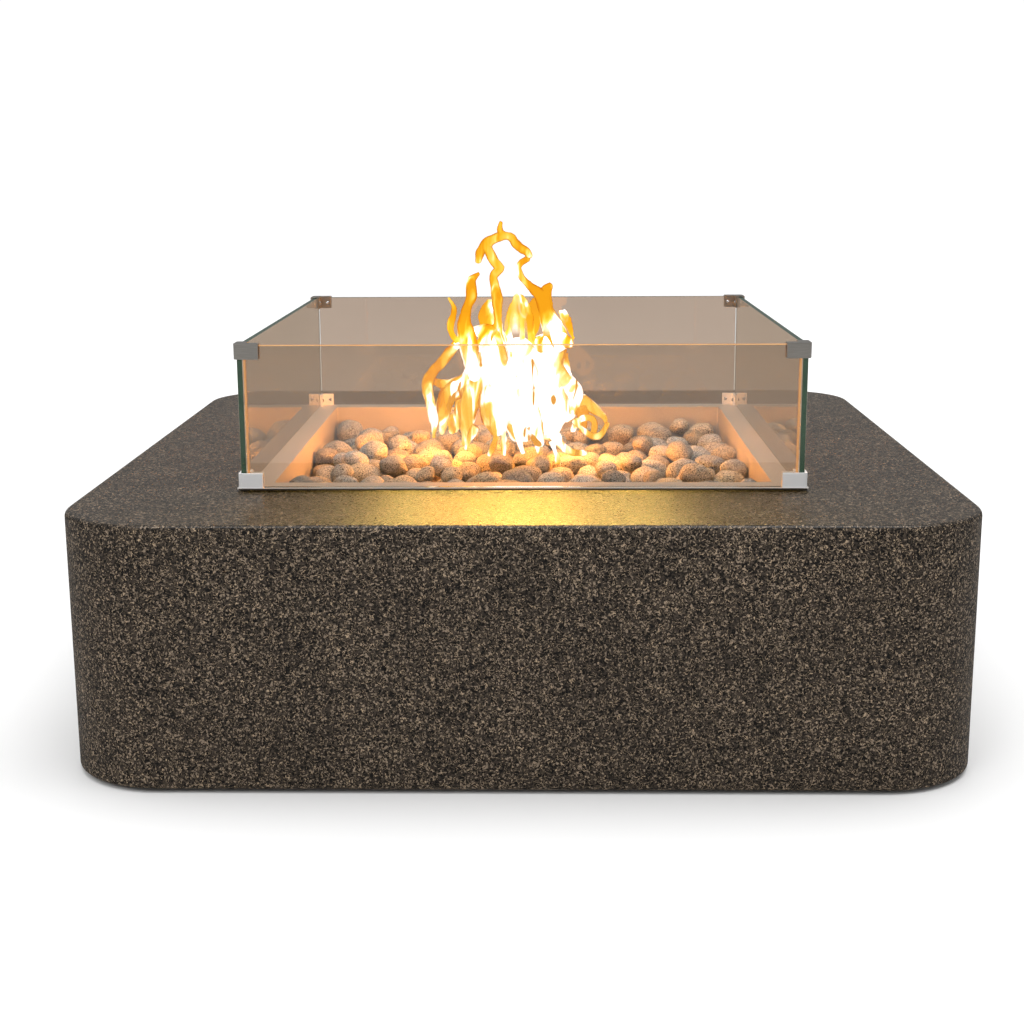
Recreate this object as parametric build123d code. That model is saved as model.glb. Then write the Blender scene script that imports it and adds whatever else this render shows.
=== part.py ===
from build123d import *
import math
import os
import random

# Square gas fire table with a drop-in steel burner pan, lava stones and a lift-off glass wind guard.
# Millimetres, +Z up, the front faces -Y.
# The gas controls and the access door are on the back (+Y), the vents on the two sides.
# The pieces are modelled about the middle of the square shell, on the floor. Each file is written
# moved along Y, so that the origin is the middle of the whole footprint, door pull and all.

# --- table shell -----------------------------------------------------------------------------
body_width = 914.0          # along X
body_depth = 914.0          # along Y
shell_height = 265.0
corner_radius = 100.0       # upright corners, outside
top_edge_radius = 6.0
base_edge_radius = 3.0
wall = 19.0
slab = 30.0                 # thickness of the table top
foot_gap = 4.0              # floor to the lower edge of the shell

# --- drop-in burner pan ----------------------------------------------------------------------
pan_opening = 530.0         # clear square inside
pan_corner = 5.0            # plan radius inside
pan_sheet = 2.0
pan_depth = 88.0            # top of the lip to the pan's floor
lip_width = 33.0
drain_inset = 33.0          # drain holes from the inner walls
pan_clearance = 3.0         # between pan and slab, each side
drain_radius = 4.0

# --- glass wind guard ------------------------------------------------------------------------
guard_inset = 2.0           # clips stand this far inside the lip's outer edge
glass_thickness = 6.0
glass_height = 149.0
glass_end_gap = 0.5         # end of a side panel to the clip
glass_joint_gap = 0.8       # end of a front panel to a side panel
clip_sheet = 3.0
clip_arm = 26.0
clip_corner = 5.0
clip_floor = 2.0
clip_cap = 1.5
clip_bottom_height = 17.5
clip_top_height = 16.0
clip_fit = 0.3              # glass to the inner plates
clip_screw_radius = 2.0
clip_screw_head_radius = 3.5
clip_screw_head = 2.2
clip_screw_inset = 6.0      # from the end of the arm

# --- burner and gas train --------------------------------------------------------------------
leg_spacing = 220.0         # between the two parallel tubes
leg_length = 300.0
tube_radius = 9.5
bar_radius = 8.0            # cross bar
tube_wall = 1.6
burner_lift = 22.0          # pan floor to the tubes' centre lines
hub_radius = 18.0
hub_half_height = 14.0
nipple_radius = 10.5
nipple_bore = 7.0
port_radius = 1.6
leg_port_count = 12
bar_port_count = 4          # on each half of the cross bar
support_thickness = 3.0
support_foot = 16.0
support_inset = 40.0        # from the end of a leg
support_narrowing = 0.5     # saddle's sides inside the tube's outline
saddle_gap = 0.1
pan_nut_height = 10.0
pan_nut_across = 32.0
thread_clearance = 0.05
elbow_radius = 15.0
elbow_arm_radius = 13.0
elbow_drop = 49.0           # pan floor's underside to the elbow's centre
elbow_arm = 36.0
elbow_collar = 5.0          # socket above the elbow's body
mixer_radius = 14.0
mixer_spigot_radius = 9.5
mixer_bore = 8.0
mixer_length = 74.0
mixer_spigot = 14.0
window_width = 10.0
window_length = 22.0
shutter_inset = 6.0         # shutter from the far end of the mixer
shutter_sheet = 2.0
shutter_overlap = 4.0       # shutter past each end of the windows
running_clearance = 0.05
orifice_across = 20.0
orifice_hex = 16.0
orifice_tail = 14.0
orifice_tail_radius = 8.0
orifice_bore = 2.0
orifice_plug = 6.0          # depth in the mixer

# --- heat shield under the pan ---------------------------------------------------------------
shield_side_gap = 18.0
shield_floor_gap = 24.0
shield_sheet = 1.5
shield_flange = 18.0
shield_slot_width = 60.0
shield_slot_height = 8.0
shield_slot_count = 4
shield_hole_gap = 4.0       # round the nipple

# --- pilot assembly --------------------------------------------------------------------------
pilot_x = 110.0
pilot_y = 181.0
pilot_pitch = 14.0          # between hood, electrode and thermocouple
pilot_clear_radius = 27.0   # kept free of stones
pilot_plate_width = 46.0
pilot_plate_depth = 24.0
pilot_plate_sheet = 2.0
pilot_plate_lift = 20.0
pilot_tail = 18.0           # below the pan floor's upper face
hood_radius = 5.0
hood_bore = 3.0
hood_cap_radius = 6.5
hood_height = 48.0
hood_cap_height = 14.0
electrode_radius = 3.5
electrode_height = 34.0
electrode_rod_radius = 1.2
electrode_rod_height = 12.0
spark_gap = 3.0             # rod to the hood's cap
thermocouple_radius = 3.0
thermocouple_height = 44.0

# --- lava stones -----------------------------------------------------------------------------
gravel_depth = 38.0
gravel_gap = 0.3
stone_small = 13.5          # half widths
stone_large = 23.0
stone_flatness = 0.78       # height over width
stone_cap = 0.42            # flat top and underside, as a share of the half width
stone_shoulder = 0.88
stone_shoulder_height = 0.5
stone_gap = 0.3
stone_fill = 42.0           # depth of the stones over the gravel
stone_tries = 60
stone_misses = 25
stone_seed = 11

# --- control panel (back) --------------------------------------------------------------------
panel_x = -180.0
panel_z = 132.0
panel_width = 230.0
panel_height = 110.0
panel_sheet = 2.5
panel_border = 15.0
valve_offset = -55.0        # from the panel's middle, along X
igniter_offset = 15.0
inlet_offset = 80.0
inlet_drop = 14.0
valve_width = 46.0
valve_depth = 33.0
valve_height = 50.0
valve_port_offset = 9.0     # the burner's outlet, from the valve's middle
valve_port_rise = 14.0
nose_radius = 7.5
nose_length = 5.0           # past the panel's inner face
plunger_radius = 5.0
plunger_length = 24.0
plunger_travel = 3.5
plunger_setback = 4.0       # plunger's outer end behind the nose's end
plunger_spare = 0.5         # bore deeper than the travel
spindle_radius = 3.0
knob_radius = 21.0
knob_height = 20.0
knob_gap = 4.5              # back of the knob to the bezel
knob_grip = 12.0            # depth of the spindle in the knob
knob_flute_radius = 3.0
knob_flute_count = 12
knob_skirt = 4.0            # plain band at the back
knob_edge_radius = 2.0
knob_fit = 0.02             # on the spindle
pointer_width = 1.6
pointer_depth = 1.0
pointer_inset = 3.0
bezel_radius = 25.0
bezel_sheet = 3.0
bezel_edge_radius = 1.0
igniter_radius = 11.0
igniter_flange_radius = 14.0
igniter_flange = 2.5
igniter_depth = 52.0
button_radius = 8.0
button_length = 37.0
button_proud = 8.0
button_travel = 6.0
button_spare = 2.0          # bore deeper than the travel
button_edge_radius = 1.0
bulkhead_nut_height = 6.0
igniter_nut_across = 30.0
inlet_radius = 7.94         # 3/8 in flare, male
inlet_flare_length = 20.0
inlet_tip_chamfer = 2.0
inlet_hex_across = 24.0
inlet_hex = 6.5
inlet_shank_radius = 9.0
inlet_shank = 17.0
inlet_tail_radius = 7.0
inlet_bore = 4.0
inlet_nut_across = 26.0
screw_radius = 1.95
screw_length = 13.0
screw_head_radius = 4.0
screw_head = 2.2
screw_inset = 8.0
screw_hole_spare = 1.0      # hole deeper than the screw
plate_corner = 6.0          # corners of the plates on the walls

# --- lines under the pan ---------------------------------------------------------------------
supply_radius = 4.75
burner_line_radius = 6.0
pilot_line_radius = 2.0
ignition_wire_radius = 2.5
lead_radius = 1.5
supply_loop = 62.0          # how far the supply line reaches in from the valve
bend_share = 0.45           # part of a run that a bend takes

# --- access door (back) ----------------------------------------------------------------------
door_x = 187.0
door_z = 128.0
door_opening_width = 250.0
door_opening_height = 126.0
door_overlap = 14.0
door_sheet = 2.0
door_gap = 0.3
door_flange = 10.0
door_flange_inset = 5.0
frame_sheet = 3.0
frame_side = 28.0           # frame past the door's edge, left and right
frame_rail = 10.0           # frame past the door's edge, top and bottom
sleeve_sheet = 2.0
louvre_count = 5
louvre_length = 180.0
louvre_slot = 6.0
louvre_pitch = 18.0
louvre_blade = 8.0
louvre_blade_sheet = 1.2
louvre_angle = 35.0
louvre_root = 0.4           # blade's edge inside the plate
louvre_cut = 40.0           # depth that the slots are cut through
hinge_offset = 6.0          # pin's axis past the door's edge
hinge_standoff = 5.0        # pin's axis in front of the frame
knuckle_radius = 4.5
pin_radius = 2.5
pin_head = 1.5
pin_head_radius = 4.0
leaf_sheet = 1.5
leaf_width = 20.0
hinge_height = 40.0
hinge_spacing = 104.0
knuckle_gap = 0.3
door_knuckle = 13.4
pull_length = 70.0
pull_radius = 4.0
pull_post_radius = 3.0
pull_reach = 24.0
pull_inset = 18.0
magnet_height = 24.0
magnet_spacing = 60.0
magnet_gap = 0.7
magnet_setback = 4.0        # from the wall's inner face

# --- side vents ------------------------------------------------------------------------------
vent_width = 240.0
vent_height = 84.0
vent_z = 95.0
vent_sheet = 3.0
vent_border = 15.0
vent_slot_count = 3
vent_pitch = 16.0
vent_slot_margin = 5.0      # slots' ends inside the wall opening

# --- levelling feet --------------------------------------------------------------------------
bracket_size = 150.0
bracket_corner_gap = 2.0    # past the rounded corner inside
bracket_sheet = 4.0
bracket_flange = 28.0
bracket_z = 34.0
foot_inset = 58.0           # stud from the inner wall faces
foot_pad_radius = 22.0
foot_pad = 8.0
foot_stud_radius = 5.0
foot_stud_top = 62.0
foot_nut_across = 17.0
foot_nut_height = 8.0

# --- planes that the pieces share ------------------------------------------------------------
shell_base = foot_gap
table_top = shell_base + shell_height
slab_under = table_top - slab
lip_top = table_top + pan_sheet
pan_floor = lip_top - pan_depth
pan_under = pan_floor - pan_sheet
lip_outer = pan_opening + 2 * lip_width
pan_body = pan_opening + 2 * pan_sheet
guard_half = lip_outer / 2 - guard_inset
glass_outer = guard_half - clip_sheet
glass_inner = glass_outer - glass_thickness
glass_base = lip_top + clip_floor
glass_top = glass_base + glass_height
burner_z = pan_floor + burner_lift
gravel_top = pan_floor + gravel_depth
leg_x = leg_spacing / 2
leg_end = leg_length / 2
shield_half = pan_body / 2 + shield_side_gap
shield_floor = pan_under - shield_floor_gap
train_z = pan_under - elbow_drop
mixer_start = elbow_arm
mixer_end = mixer_start + mixer_length
window_end = mixer_end - shutter_inset - shutter_overlap
window_start = window_end - window_length
back_face = body_depth / 2
side_face = body_width / 2
inner_x = side_face - wall
inner_y = back_face - wall
bracket_chamfer = corner_radius - wall + bracket_corner_gap
panel_front = back_face + panel_sheet
valve_x = panel_x + valve_offset
igniter_x = panel_x + igniter_offset
inlet_x = panel_x + inlet_offset
inlet_z = panel_z - inlet_drop
valve_back = back_face - valve_depth
nose_end = back_face + nose_length
bezel_front = panel_front + bezel_sheet
knob_back = bezel_front + knob_gap
frame_front = back_face + frame_sheet
door_back = frame_front + door_gap
door_front = door_back + door_sheet
door_width = door_opening_width + 2 * door_overlap
door_height = door_opening_height + 2 * door_overlap
hinge_x = door_x + door_width / 2 + hinge_offset
hinge_y = frame_front + hinge_standoff
origin_shift = (door_front + pull_reach + pull_radius - back_face) / 2


# --- plain shapes ----------------------------------------------------------------------------
def block(x0, x1, y0, y1, z0, z1):
    """A box between six planes."""
    centre = Pos((x0 + x1) / 2, (y0 + y1) / 2, (z0 + z1) / 2)
    return centre * Box(x1 - x0, y1 - y0, z1 - z0)


def rod_x(radius, x0, x1, y=0.0, z=0.0):
    return Pos((x0 + x1) / 2, y, z) * Rot(0, 90, 0) * Cylinder(radius, x1 - x0)


def rod_y(radius, y0, y1, x=0.0, z=0.0):
    return Pos(x, (y0 + y1) / 2, z) * Rot(90, 0, 0) * Cylinder(radius, y1 - y0)


def rod_z(radius, z0, z1, x=0.0, y=0.0):
    return Pos(x, y, (z0 + z1) / 2) * Cylinder(radius, z1 - z0)


def hex_y(across, y0, y1, x=0.0, z=0.0):
    profile = RegularPolygon(across / math.sqrt(3), 6)
    return Pos(x, y0, z) * Rot(-90, 0, 0) * extrude(profile, y1 - y0)


def hex_z(across, z0, z1, x=0.0, y=0.0):
    return Pos(x, y, z0) * extrude(RegularPolygon(across / math.sqrt(3), 6), z1 - z0)


def rounded_block(width, depth, z0, z1, radius):
    """An upright box with rounded upright edges."""
    return Pos(0, 0, z0) * extrude(RectangleRounded(width, depth, radius), z1 - z0)


def gather(solids):
    """Several separate solids as one node."""
    return Compound([piece for shape in solids for piece in shape.solids()])


def at_corners(shape):
    """The shape of the right back corner, copied to all four corners."""
    right = [shape, mirror(shape, about=Plane.XZ)]
    return right + [mirror(piece, about=Plane.YZ) for piece in right]


# --- table shell -----------------------------------------------------------------------------
def panel_screw_places():
    """Screws of the control panel: (x, z)."""
    half_x = panel_width / 2 - screw_inset
    half_z = panel_height / 2 - screw_inset
    return [(panel_x + sx * half_x, panel_z + sz * half_z) for sx in (-1, 1) for sz in (-1, 1)]


def frame_screw_places():
    """Screws of the door frame, between the hinges' levels: (x, z)."""
    half_x = door_width / 2 + frame_side - screw_inset
    half_z = hinge_spacing / 2 - hinge_height
    return [(door_x + sx * half_x, door_z + sz * half_z) for sx in (-1, 1) for sz in (-1, 1)]


def vent_screw_places():
    """Screws of one side vent: (y, z)."""
    half_y = vent_width / 2 - screw_inset
    half_z = vent_height / 2 - screw_inset
    return [(sy * half_y, vent_z + sz * half_z) for sy in (-1, 1) for sz in (-1, 1)]


def enclosure_shell():
    shell = rounded_block(body_width, body_depth, shell_base, table_top, corner_radius)
    shell = fillet(shell.edges().group_by(Axis.Z)[-1], top_edge_radius)
    shell = fillet(shell.edges().group_by(Axis.Z)[0], base_edge_radius)
    shell -= rounded_block(2 * inner_x, 2 * inner_y, shell_base, slab_under, corner_radius - wall)
    hole = pan_body / 2 + pan_clearance
    shell -= block(-hole, hole, -hole, hole, slab_under, table_top)
    half_w = panel_width / 2 - panel_border
    half_h = panel_height / 2 - panel_border
    shell -= block(panel_x - half_w, panel_x + half_w, inner_y, back_face, panel_z - half_h, panel_z + half_h)
    half_w = door_opening_width / 2 + sleeve_sheet
    half_h = door_opening_height / 2 + sleeve_sheet
    shell -= block(door_x - half_w, door_x + half_w, inner_y, back_face, door_z - half_h, door_z + half_h)
    half_w = vent_width / 2 - vent_border
    half_h = vent_height / 2 - vent_border
    shell -= block(inner_x, side_face, -half_w, half_w, vent_z - half_h, vent_z + half_h)
    shell -= block(-side_face, -inner_x, -half_w, half_w, vent_z - half_h, vent_z + half_h)
    depth = screw_length + screw_hole_spare
    for x, z in panel_screw_places() + frame_screw_places():
        shell -= rod_y(screw_radius + thread_clearance, back_face - depth, back_face, x, z)
    for y, z in vent_screw_places():
        shell -= rod_x(screw_radius + thread_clearance, side_face - depth, side_face, y, z)
        shell -= rod_x(screw_radius + thread_clearance, -side_face, depth - side_face, y, z)
    return shell


def corner_plates():
    """Steel gussets in the four inner corners that carry the feet."""
    outline = Polyline(
        (inner_x - bracket_chamfer, inner_y),
        (inner_x - bracket_size, inner_y),
        (inner_x, inner_y - bracket_size),
        (inner_x, inner_y - bracket_chamfer),
        close=True,
    )
    plate = Pos(0, 0, bracket_z) * extrude(make_face(outline), bracket_sheet)
    top = bracket_z + bracket_flange
    near_x = inner_x - bracket_chamfer
    near_y = inner_y - bracket_chamfer
    far_x = inner_x - bracket_size
    far_y = inner_y - bracket_size
    reach = bracket_sheet * math.sqrt(2)
    plate += block(far_x + reach, near_x, inner_y - bracket_sheet, inner_y, bracket_z, top)
    plate += block(inner_x - bracket_sheet, inner_x, far_y + reach, near_y, bracket_z, top)
    stud_x = inner_x - foot_inset
    stud_y = inner_y - foot_inset
    plate -= rod_z(foot_stud_radius + running_clearance, bracket_z, top, stud_x, stud_y)
    return gather(at_corners(plate))


def levelling_foot(sx, sy):
    x = sx * (inner_x - foot_inset)
    y = sy * (inner_y - foot_inset)
    pad = rod_z(foot_pad_radius, 0, foot_pad, x, y)
    pad = fillet(pad.edges().group_by(Axis.Z)[-1], foot_pad / 4)
    return pad + rod_z(foot_stud_radius, foot_pad / 2, foot_stud_top, x, y)


def foot_lock_nuts():
    x = inner_x - foot_inset
    y = inner_y - foot_inset
    low = bracket_z + bracket_sheet
    nut = hex_z(foot_nut_across, low, low + foot_nut_height, x, y)
    nut -= rod_z(foot_stud_radius + running_clearance, low, low + foot_nut_height, x, y)
    return gather(at_corners(nut))


# --- burner pan and what hangs in it ---------------------------------------------------------
def burner_pan():
    """Welded sheet-steel pan whose lip rests on the table top."""
    pan = rounded_block(lip_outer, lip_outer, table_top, lip_top, pan_corner)
    pan += rounded_block(pan_body, pan_body, pan_under, lip_top, pan_corner + pan_sheet)
    pan -= rounded_block(pan_opening, pan_opening, pan_floor, lip_top, pan_corner)
    pan -= rod_z(nipple_radius + thread_clearance, pan_under, pan_floor)
    for step, radius in zip((-1, 0, 1), (hood_radius, electrode_radius, thermocouple_radius)):
        x = pilot_x + step * pilot_pitch
        pan -= rod_z(radius + running_clearance, pan_under, pan_floor, x, pilot_y)
    drain = pan_opening / 2 - drain_inset
    for sx in (-1, 1):
        for sy in (-1, 1):
            pan -= rod_z(drain_radius, pan_under, pan_floor, sx * drain, sy * drain)
    return pan


def heat_shield():
    """Sheet box round the pan, hung from the underside of the table top by its flange."""
    outer = 2 * shield_half
    inner = outer - 2 * shield_sheet
    flange = outer + 2 * shield_flange
    shield = rounded_block(flange, flange, slab_under - shield_sheet, slab_under, pan_corner)
    shield += rounded_block(outer, outer, shield_floor, slab_under, pan_corner + shield_sheet)
    shield -= rounded_block(inner, inner, shield_floor + shield_sheet, slab_under, pan_corner)
    shield -= rod_z(nipple_radius + shield_hole_gap, shield_floor, shield_floor + shield_sheet)
    half_w = pilot_pitch + 2 * hood_radius
    slot_top = shield_floor + shield_sheet
    shield -= block(pilot_x - half_w, pilot_x + half_w, pilot_y - 2 * hood_radius,
                    pilot_y + 2 * hood_radius, shield_floor, slot_top)
    pitch = inner / shield_slot_count
    low = shield_floor + shield_floor_gap
    for step in range(shield_slot_count):
        middle = (step - (shield_slot_count - 1) / 2) * pitch
        left = middle - shield_slot_width / 2
        right = middle + shield_slot_width / 2
        shield -= block(left, right, -shield_half, shield_half, low, low + shield_slot_height)
        shield -= block(-shield_half, shield_half, left, right, low, low + shield_slot_height)
    return shield


def burner_tubes(inset):
    """Outside of the burner's tubes and hub, or the gas space inside them."""
    tubes = rod_x(bar_radius - inset, -leg_x, leg_x, 0, burner_z)
    for side in (-1, 1):
        tubes += rod_y(tube_radius - inset, inset - leg_end, leg_end - inset, side * leg_x, burner_z)
    half = hub_half_height - inset
    return tubes + rod_z(hub_radius - inset, burner_z - half, burner_z + half)


def h_burner():
    """Two parallel tubes, a cross bar, a hub and the threaded nipple that goes through the pan."""
    burner = burner_tubes(0) + rod_z(nipple_radius, train_z, burner_z)
    burner -= burner_tubes(tube_wall)
    burner -= rod_z(nipple_bore, train_z, burner_z)
    top = burner_z + 2 * tube_radius
    for side in (-1, 1):
        for step in range(leg_port_count):
            y = ((step + 0.5) / leg_port_count - 0.5) * leg_length
            burner -= rod_z(port_radius, burner_z, top, side * leg_x, y)
        for step in range(bar_port_count):
            reach = leg_x - tube_radius - hub_radius
            x = hub_radius + reach * (step + 0.5) / bar_port_count
            burner -= rod_z(port_radius, burner_z, top, side * x, 0)
    return burner


def burner_supports():
    """Saddles between the pan floor and the tubes."""
    half = tube_radius - support_narrowing
    y = leg_end - support_inset
    post = block(leg_x - half, leg_x + half, y - support_thickness / 2, y + support_thickness / 2,
                 pan_floor, burner_z)
    post += block(leg_x - half, leg_x + half, y - support_foot / 2, y + support_foot / 2,
                  pan_floor, pan_floor + support_thickness / 2)
    post -= rod_y(tube_radius + saddle_gap, y - support_foot, y + support_foot, leg_x, burner_z)
    return gather(at_corners(post))


def pan_lock_nut():
    nut = hex_z(pan_nut_across, pan_under - pan_nut_height, pan_under)
    return nut - rod_z(nipple_radius + thread_clearance, pan_under - pan_nut_height, pan_under)


def burner_elbow():
    """Cast elbow from the nipple to the air mixer."""
    low = train_z - elbow_radius
    high = train_z + elbow_radius + elbow_collar
    elbow = rod_z(elbow_radius, low, high) + rod_y(elbow_arm_radius, 0, elbow_arm, 0, train_z)
    elbow -= rod_z(nipple_radius + thread_clearance, train_z, high)
    elbow -= rod_y(mixer_spigot_radius + thread_clearance, elbow_arm - mixer_spigot, elbow_arm, 0, train_z)
    return elbow - rod_y(nipple_bore, 0, elbow_arm, 0, train_z)


def windows(reach):
    """Four air openings round the mixer, long in Y."""
    half = window_width / 2
    across = block(-reach, reach, window_start, window_end, train_z - half, train_z + half)
    upright = block(-half, half, window_start, window_end, train_z - reach, train_z + reach)
    return across + upright


def air_mixer():
    mixer = rod_y(mixer_radius, mixer_start, mixer_end, 0, train_z)
    mixer += rod_y(mixer_spigot_radius, mixer_start - mixer_spigot, mixer_start, 0, train_z)
    mixer -= rod_y(mixer_bore, mixer_start - mixer_spigot, mixer_end, 0, train_z)
    return mixer - windows(mixer_radius)


def air_shutter():
    """Sleeve that turns on the mixer to cover its windows."""
    inner = mixer_radius + running_clearance
    outer = mixer_radius + shutter_sheet
    start = window_start - shutter_overlap
    end = window_end + shutter_overlap
    shutter = rod_y(outer, start, end, 0, train_z)
    tab = block(-shutter_sheet, shutter_sheet, start, start + shutter_overlap,
                train_z - outer - 4 * shutter_sheet, train_z)
    shutter += tab
    shutter -= rod_y(inner, start, end, 0, train_z)
    return shutter - windows(outer)


def gas_orifice():
    hex_end = mixer_end + orifice_hex
    tail_end = hex_end + orifice_tail
    orifice = hex_y(orifice_across, mixer_end, hex_end, 0, train_z)
    orifice += rod_y(mixer_bore - thread_clearance, mixer_end - orifice_plug, mixer_end, 0, train_z)
    orifice += rod_y(orifice_tail_radius, hex_end, tail_end, 0, train_z)
    return orifice - rod_y(orifice_bore, mixer_end - orifice_plug, tail_end, 0, train_z)


# --- pilot -----------------------------------------------------------------------------------
def pilot_bracket():
    """Z-shaped plate that holds the pilot pieces upright."""
    half_w = pilot_plate_width / 2
    back = pilot_y + pilot_plate_depth / 2
    front = pilot_y - pilot_plate_depth / 2
    low = pan_floor + pilot_plate_lift
    high = low + pilot_plate_sheet
    bracket = block(pilot_x - half_w, pilot_x + half_w, front, back, low, high)
    bracket += block(pilot_x - half_w, pilot_x + half_w, back - pilot_plate_sheet, back, pan_floor, high)
    for step, radius in zip((-1, 0, 1), (hood_radius, electrode_radius, thermocouple_radius)):
        bracket -= rod_z(radius + running_clearance, low, high, pilot_x + step * pilot_pitch, pilot_y)
    return bracket


def pilot_hood():
    """Pilot tube with a cap that turns the flame towards the burner."""
    x = pilot_x - pilot_pitch
    top = pan_floor + hood_height
    cap_low = top - hood_cap_height
    hood = rod_z(hood_radius, pan_floor - pilot_tail, top, x, pilot_y)
    hood += rod_z(hood_cap_radius, cap_low, top, x, pilot_y)
    hood -= rod_z(hood_bore, pan_floor - pilot_tail, top - hood_bore / 2, x, pilot_y)
    reach = hood_cap_radius + hood_bore
    hood -= block(x - hood_bore, x + hood_bore, pilot_y - reach, pilot_y,
                  cap_low + hood_bore, top - hood_bore)
    return hood


def spark_electrode():
    """Ceramic sleeve with the steel rod that sparks to the hood."""
    top = pan_floor + electrode_height
    rod_top = top + electrode_rod_height
    sleeve = rod_z(electrode_radius, pan_floor - pilot_tail, top, pilot_x, pilot_y)
    rod = rod_z(electrode_rod_radius, top, rod_top, pilot_x, pilot_y)
    reach = pilot_pitch - hood_cap_radius - spark_gap
    rod += rod_x(electrode_rod_radius, pilot_x - reach, pilot_x, pilot_y, rod_top - electrode_rod_radius)
    return gather([sleeve, rod])


def thermocouple():
    x = pilot_x + pilot_pitch
    top = pan_floor + thermocouple_height
    probe = rod_z(thermocouple_radius, pan_floor - pilot_tail, top, x, pilot_y)
    return fillet(probe.edges().group_by(Axis.Z)[-1], thermocouple_radius / 2)


# --- lines under the pan ---------------------------------------------------------------------
def tube_along(points, radius):
    """A round tube through the points, with bends as large as the runs allow."""
    corners = [Vector(*point) for point in points]
    radii = []
    for before, here, after in zip(corners, corners[1:], corners[2:]):
        shorter = min((here - before).length, (after - here).length)
        turn = math.radians((here - before).get_angle(after - here))
        radii.append(bend_share * shorter / math.tan(turn / 2))
    path = FilletPolyline(*points, radius=radii)
    section = Plane(origin=path @ 0, z_dir=path % 0) * Circle(radius)
    return sweep(section, path=path)


def supply_line():
    reach = valve_back - supply_loop
    port_x = valve_x + valve_width / 2 - valve_port_offset
    points = [
        (inlet_x, valve_back, inlet_z),
        (inlet_x, reach, inlet_z),
        (port_x, reach, inlet_z),
        (port_x, valve_back, inlet_z),
    ]
    return tube_along(points, supply_radius)


def burner_line():
    orifice_end = mixer_end + orifice_hex + orifice_tail
    port_x = valve_x - valve_port_offset
    port_z = panel_z + valve_port_rise
    points = [
        (port_x, valve_back, port_z),
        (port_x, valve_back - 74.0, port_z),
        (port_x + 74.0, valve_back - 154.0, port_z - 4.0),
        (port_x + 164.0, valve_back - 186.0, (port_z + train_z) / 2),
        (0.0, orifice_end + 72.0, train_z),
        (0.0, orifice_end, train_z),
    ]
    return tube_along(points, burner_line_radius)


def pilot_line():
    end_x = pilot_x - pilot_pitch
    low = train_z - 20.0
    points = [
        (valve_x - 13.0, valve_back, low),
        (valve_x - 13.0, valve_back - 84.0, low),
        (valve_x + 85.0, valve_back - 174.0, low),
        (end_x - 60.0, pilot_y + 18.0, low),
        (end_x, pilot_y, low + 6.0),
        (end_x, pilot_y, pan_floor - pilot_tail),
    ]
    return tube_along(points, pilot_line_radius)


def ignition_wire():
    low = train_z - 20.0
    points = [
        (igniter_x, panel_front - igniter_depth, panel_z),
        (igniter_x, valve_back - 84.0, panel_z),
        (igniter_x + 30.0, valve_back - 140.0, low),
        (pilot_x - 80.0, pilot_y + 66.0, low),
        (pilot_x, pilot_y, low + 6.0),
        (pilot_x, pilot_y, pan_floor - pilot_tail),
    ]
    return tube_along(points, ignition_wire_radius)


def thermocouple_lead():
    end_x = pilot_x + pilot_pitch
    low = train_z - 30.0
    start_z = panel_z - valve_height / 2 + 4.0
    points = [
        (valve_x + 1.0, valve_back, start_z),
        (valve_x + 1.0, valve_back - 50.0, start_z),
        (valve_x + 20.0, valve_back - 100.0, low),
        (valve_x + 115.0, valve_back - 190.0, low),
        (end_x - 80.0, pilot_y - 12.0, low),
        (end_x, pilot_y, low + 6.0),
        (end_x, pilot_y, pan_floor - pilot_tail),
    ]
    return tube_along(points, lead_radius)


# --- lava stones -----------------------------------------------------------------------------
def stone_profile(share):
    """Height of a stone's upper surface over its half height, at a share of its half width."""
    if share <= stone_cap:
        return 1.0
    if share <= stone_shoulder:
        return 1.0 - (1.0 - stone_shoulder_height) * (share - stone_cap) / (stone_shoulder - stone_cap)
    return stone_shoulder_height * (1.0 - share) / (1.0 - stone_shoulder)


def eight_sided(x, y):
    """Half width of the eight-sided outline through a point."""
    return max(abs(x), abs(y), (abs(x) + abs(y)) / math.sqrt(2))


def rest_height(x, y, radius, stones):
    """Lowest height over the gravel for the centre of a stone dropped at (x, y)."""
    height = radius * stone_flatness + stone_gap
    for other_x, other_y, other_height, other_radius in stones:
        reach = radius + other_radius + stone_gap
        apart = eight_sided(x - other_x, y - other_y)
        if apart < reach:
            lift = reach * stone_flatness * stone_profile(apart / reach)
            height = max(height, other_height + lift)
    return height


def stone_places():
    """Drops stones one at a time, each into the lowest of a few random places, until the pan is full."""
    chance = random.Random(stone_seed)
    stones = []
    misses = 0
    while misses < stone_misses:
        radius = chance.uniform(stone_small, stone_large)
        reach = pan_opening / 2 - radius - stone_gap
        best = None
        for _ in range(stone_tries):
            x = chance.uniform(-reach, reach)
            y = chance.uniform(-reach, reach)
            if math.hypot(x - pilot_x, y - pilot_y) < radius + pilot_clear_radius:
                continue
            height = rest_height(x, y, radius, stones)
            if best is None or height < best[2]:
                best = (x, y, height, radius)
        if best and best[2] + radius * stone_flatness < stone_fill:
            stones.append(best)
            misses = 0
        else:
            misses += 1
    return stones


def gravel_bed():
    """Crushed lava over and round the burner, level, with a clear well round the pilot."""
    half = pan_opening / 2 - gravel_gap
    bed = block(-half, half, -half, half, pan_floor, gravel_top)
    bed = fillet(bed.edges().filter_by(Axis.Z), pan_corner)
    bed -= burner_tubes(-gravel_gap)
    bed -= rod_z(nipple_radius + gravel_gap, pan_floor, burner_z)
    bed -= rod_z(pilot_clear_radius, pan_floor, gravel_top, pilot_x, pilot_y)
    half = support_foot / 2 + gravel_gap
    y = leg_end - support_inset
    slot = block(leg_x - tube_radius, leg_x + tube_radius, y - half, y + half, pan_floor, burner_z)
    for slot in at_corners(slot):
        bed -= slot
    return bed


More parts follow.
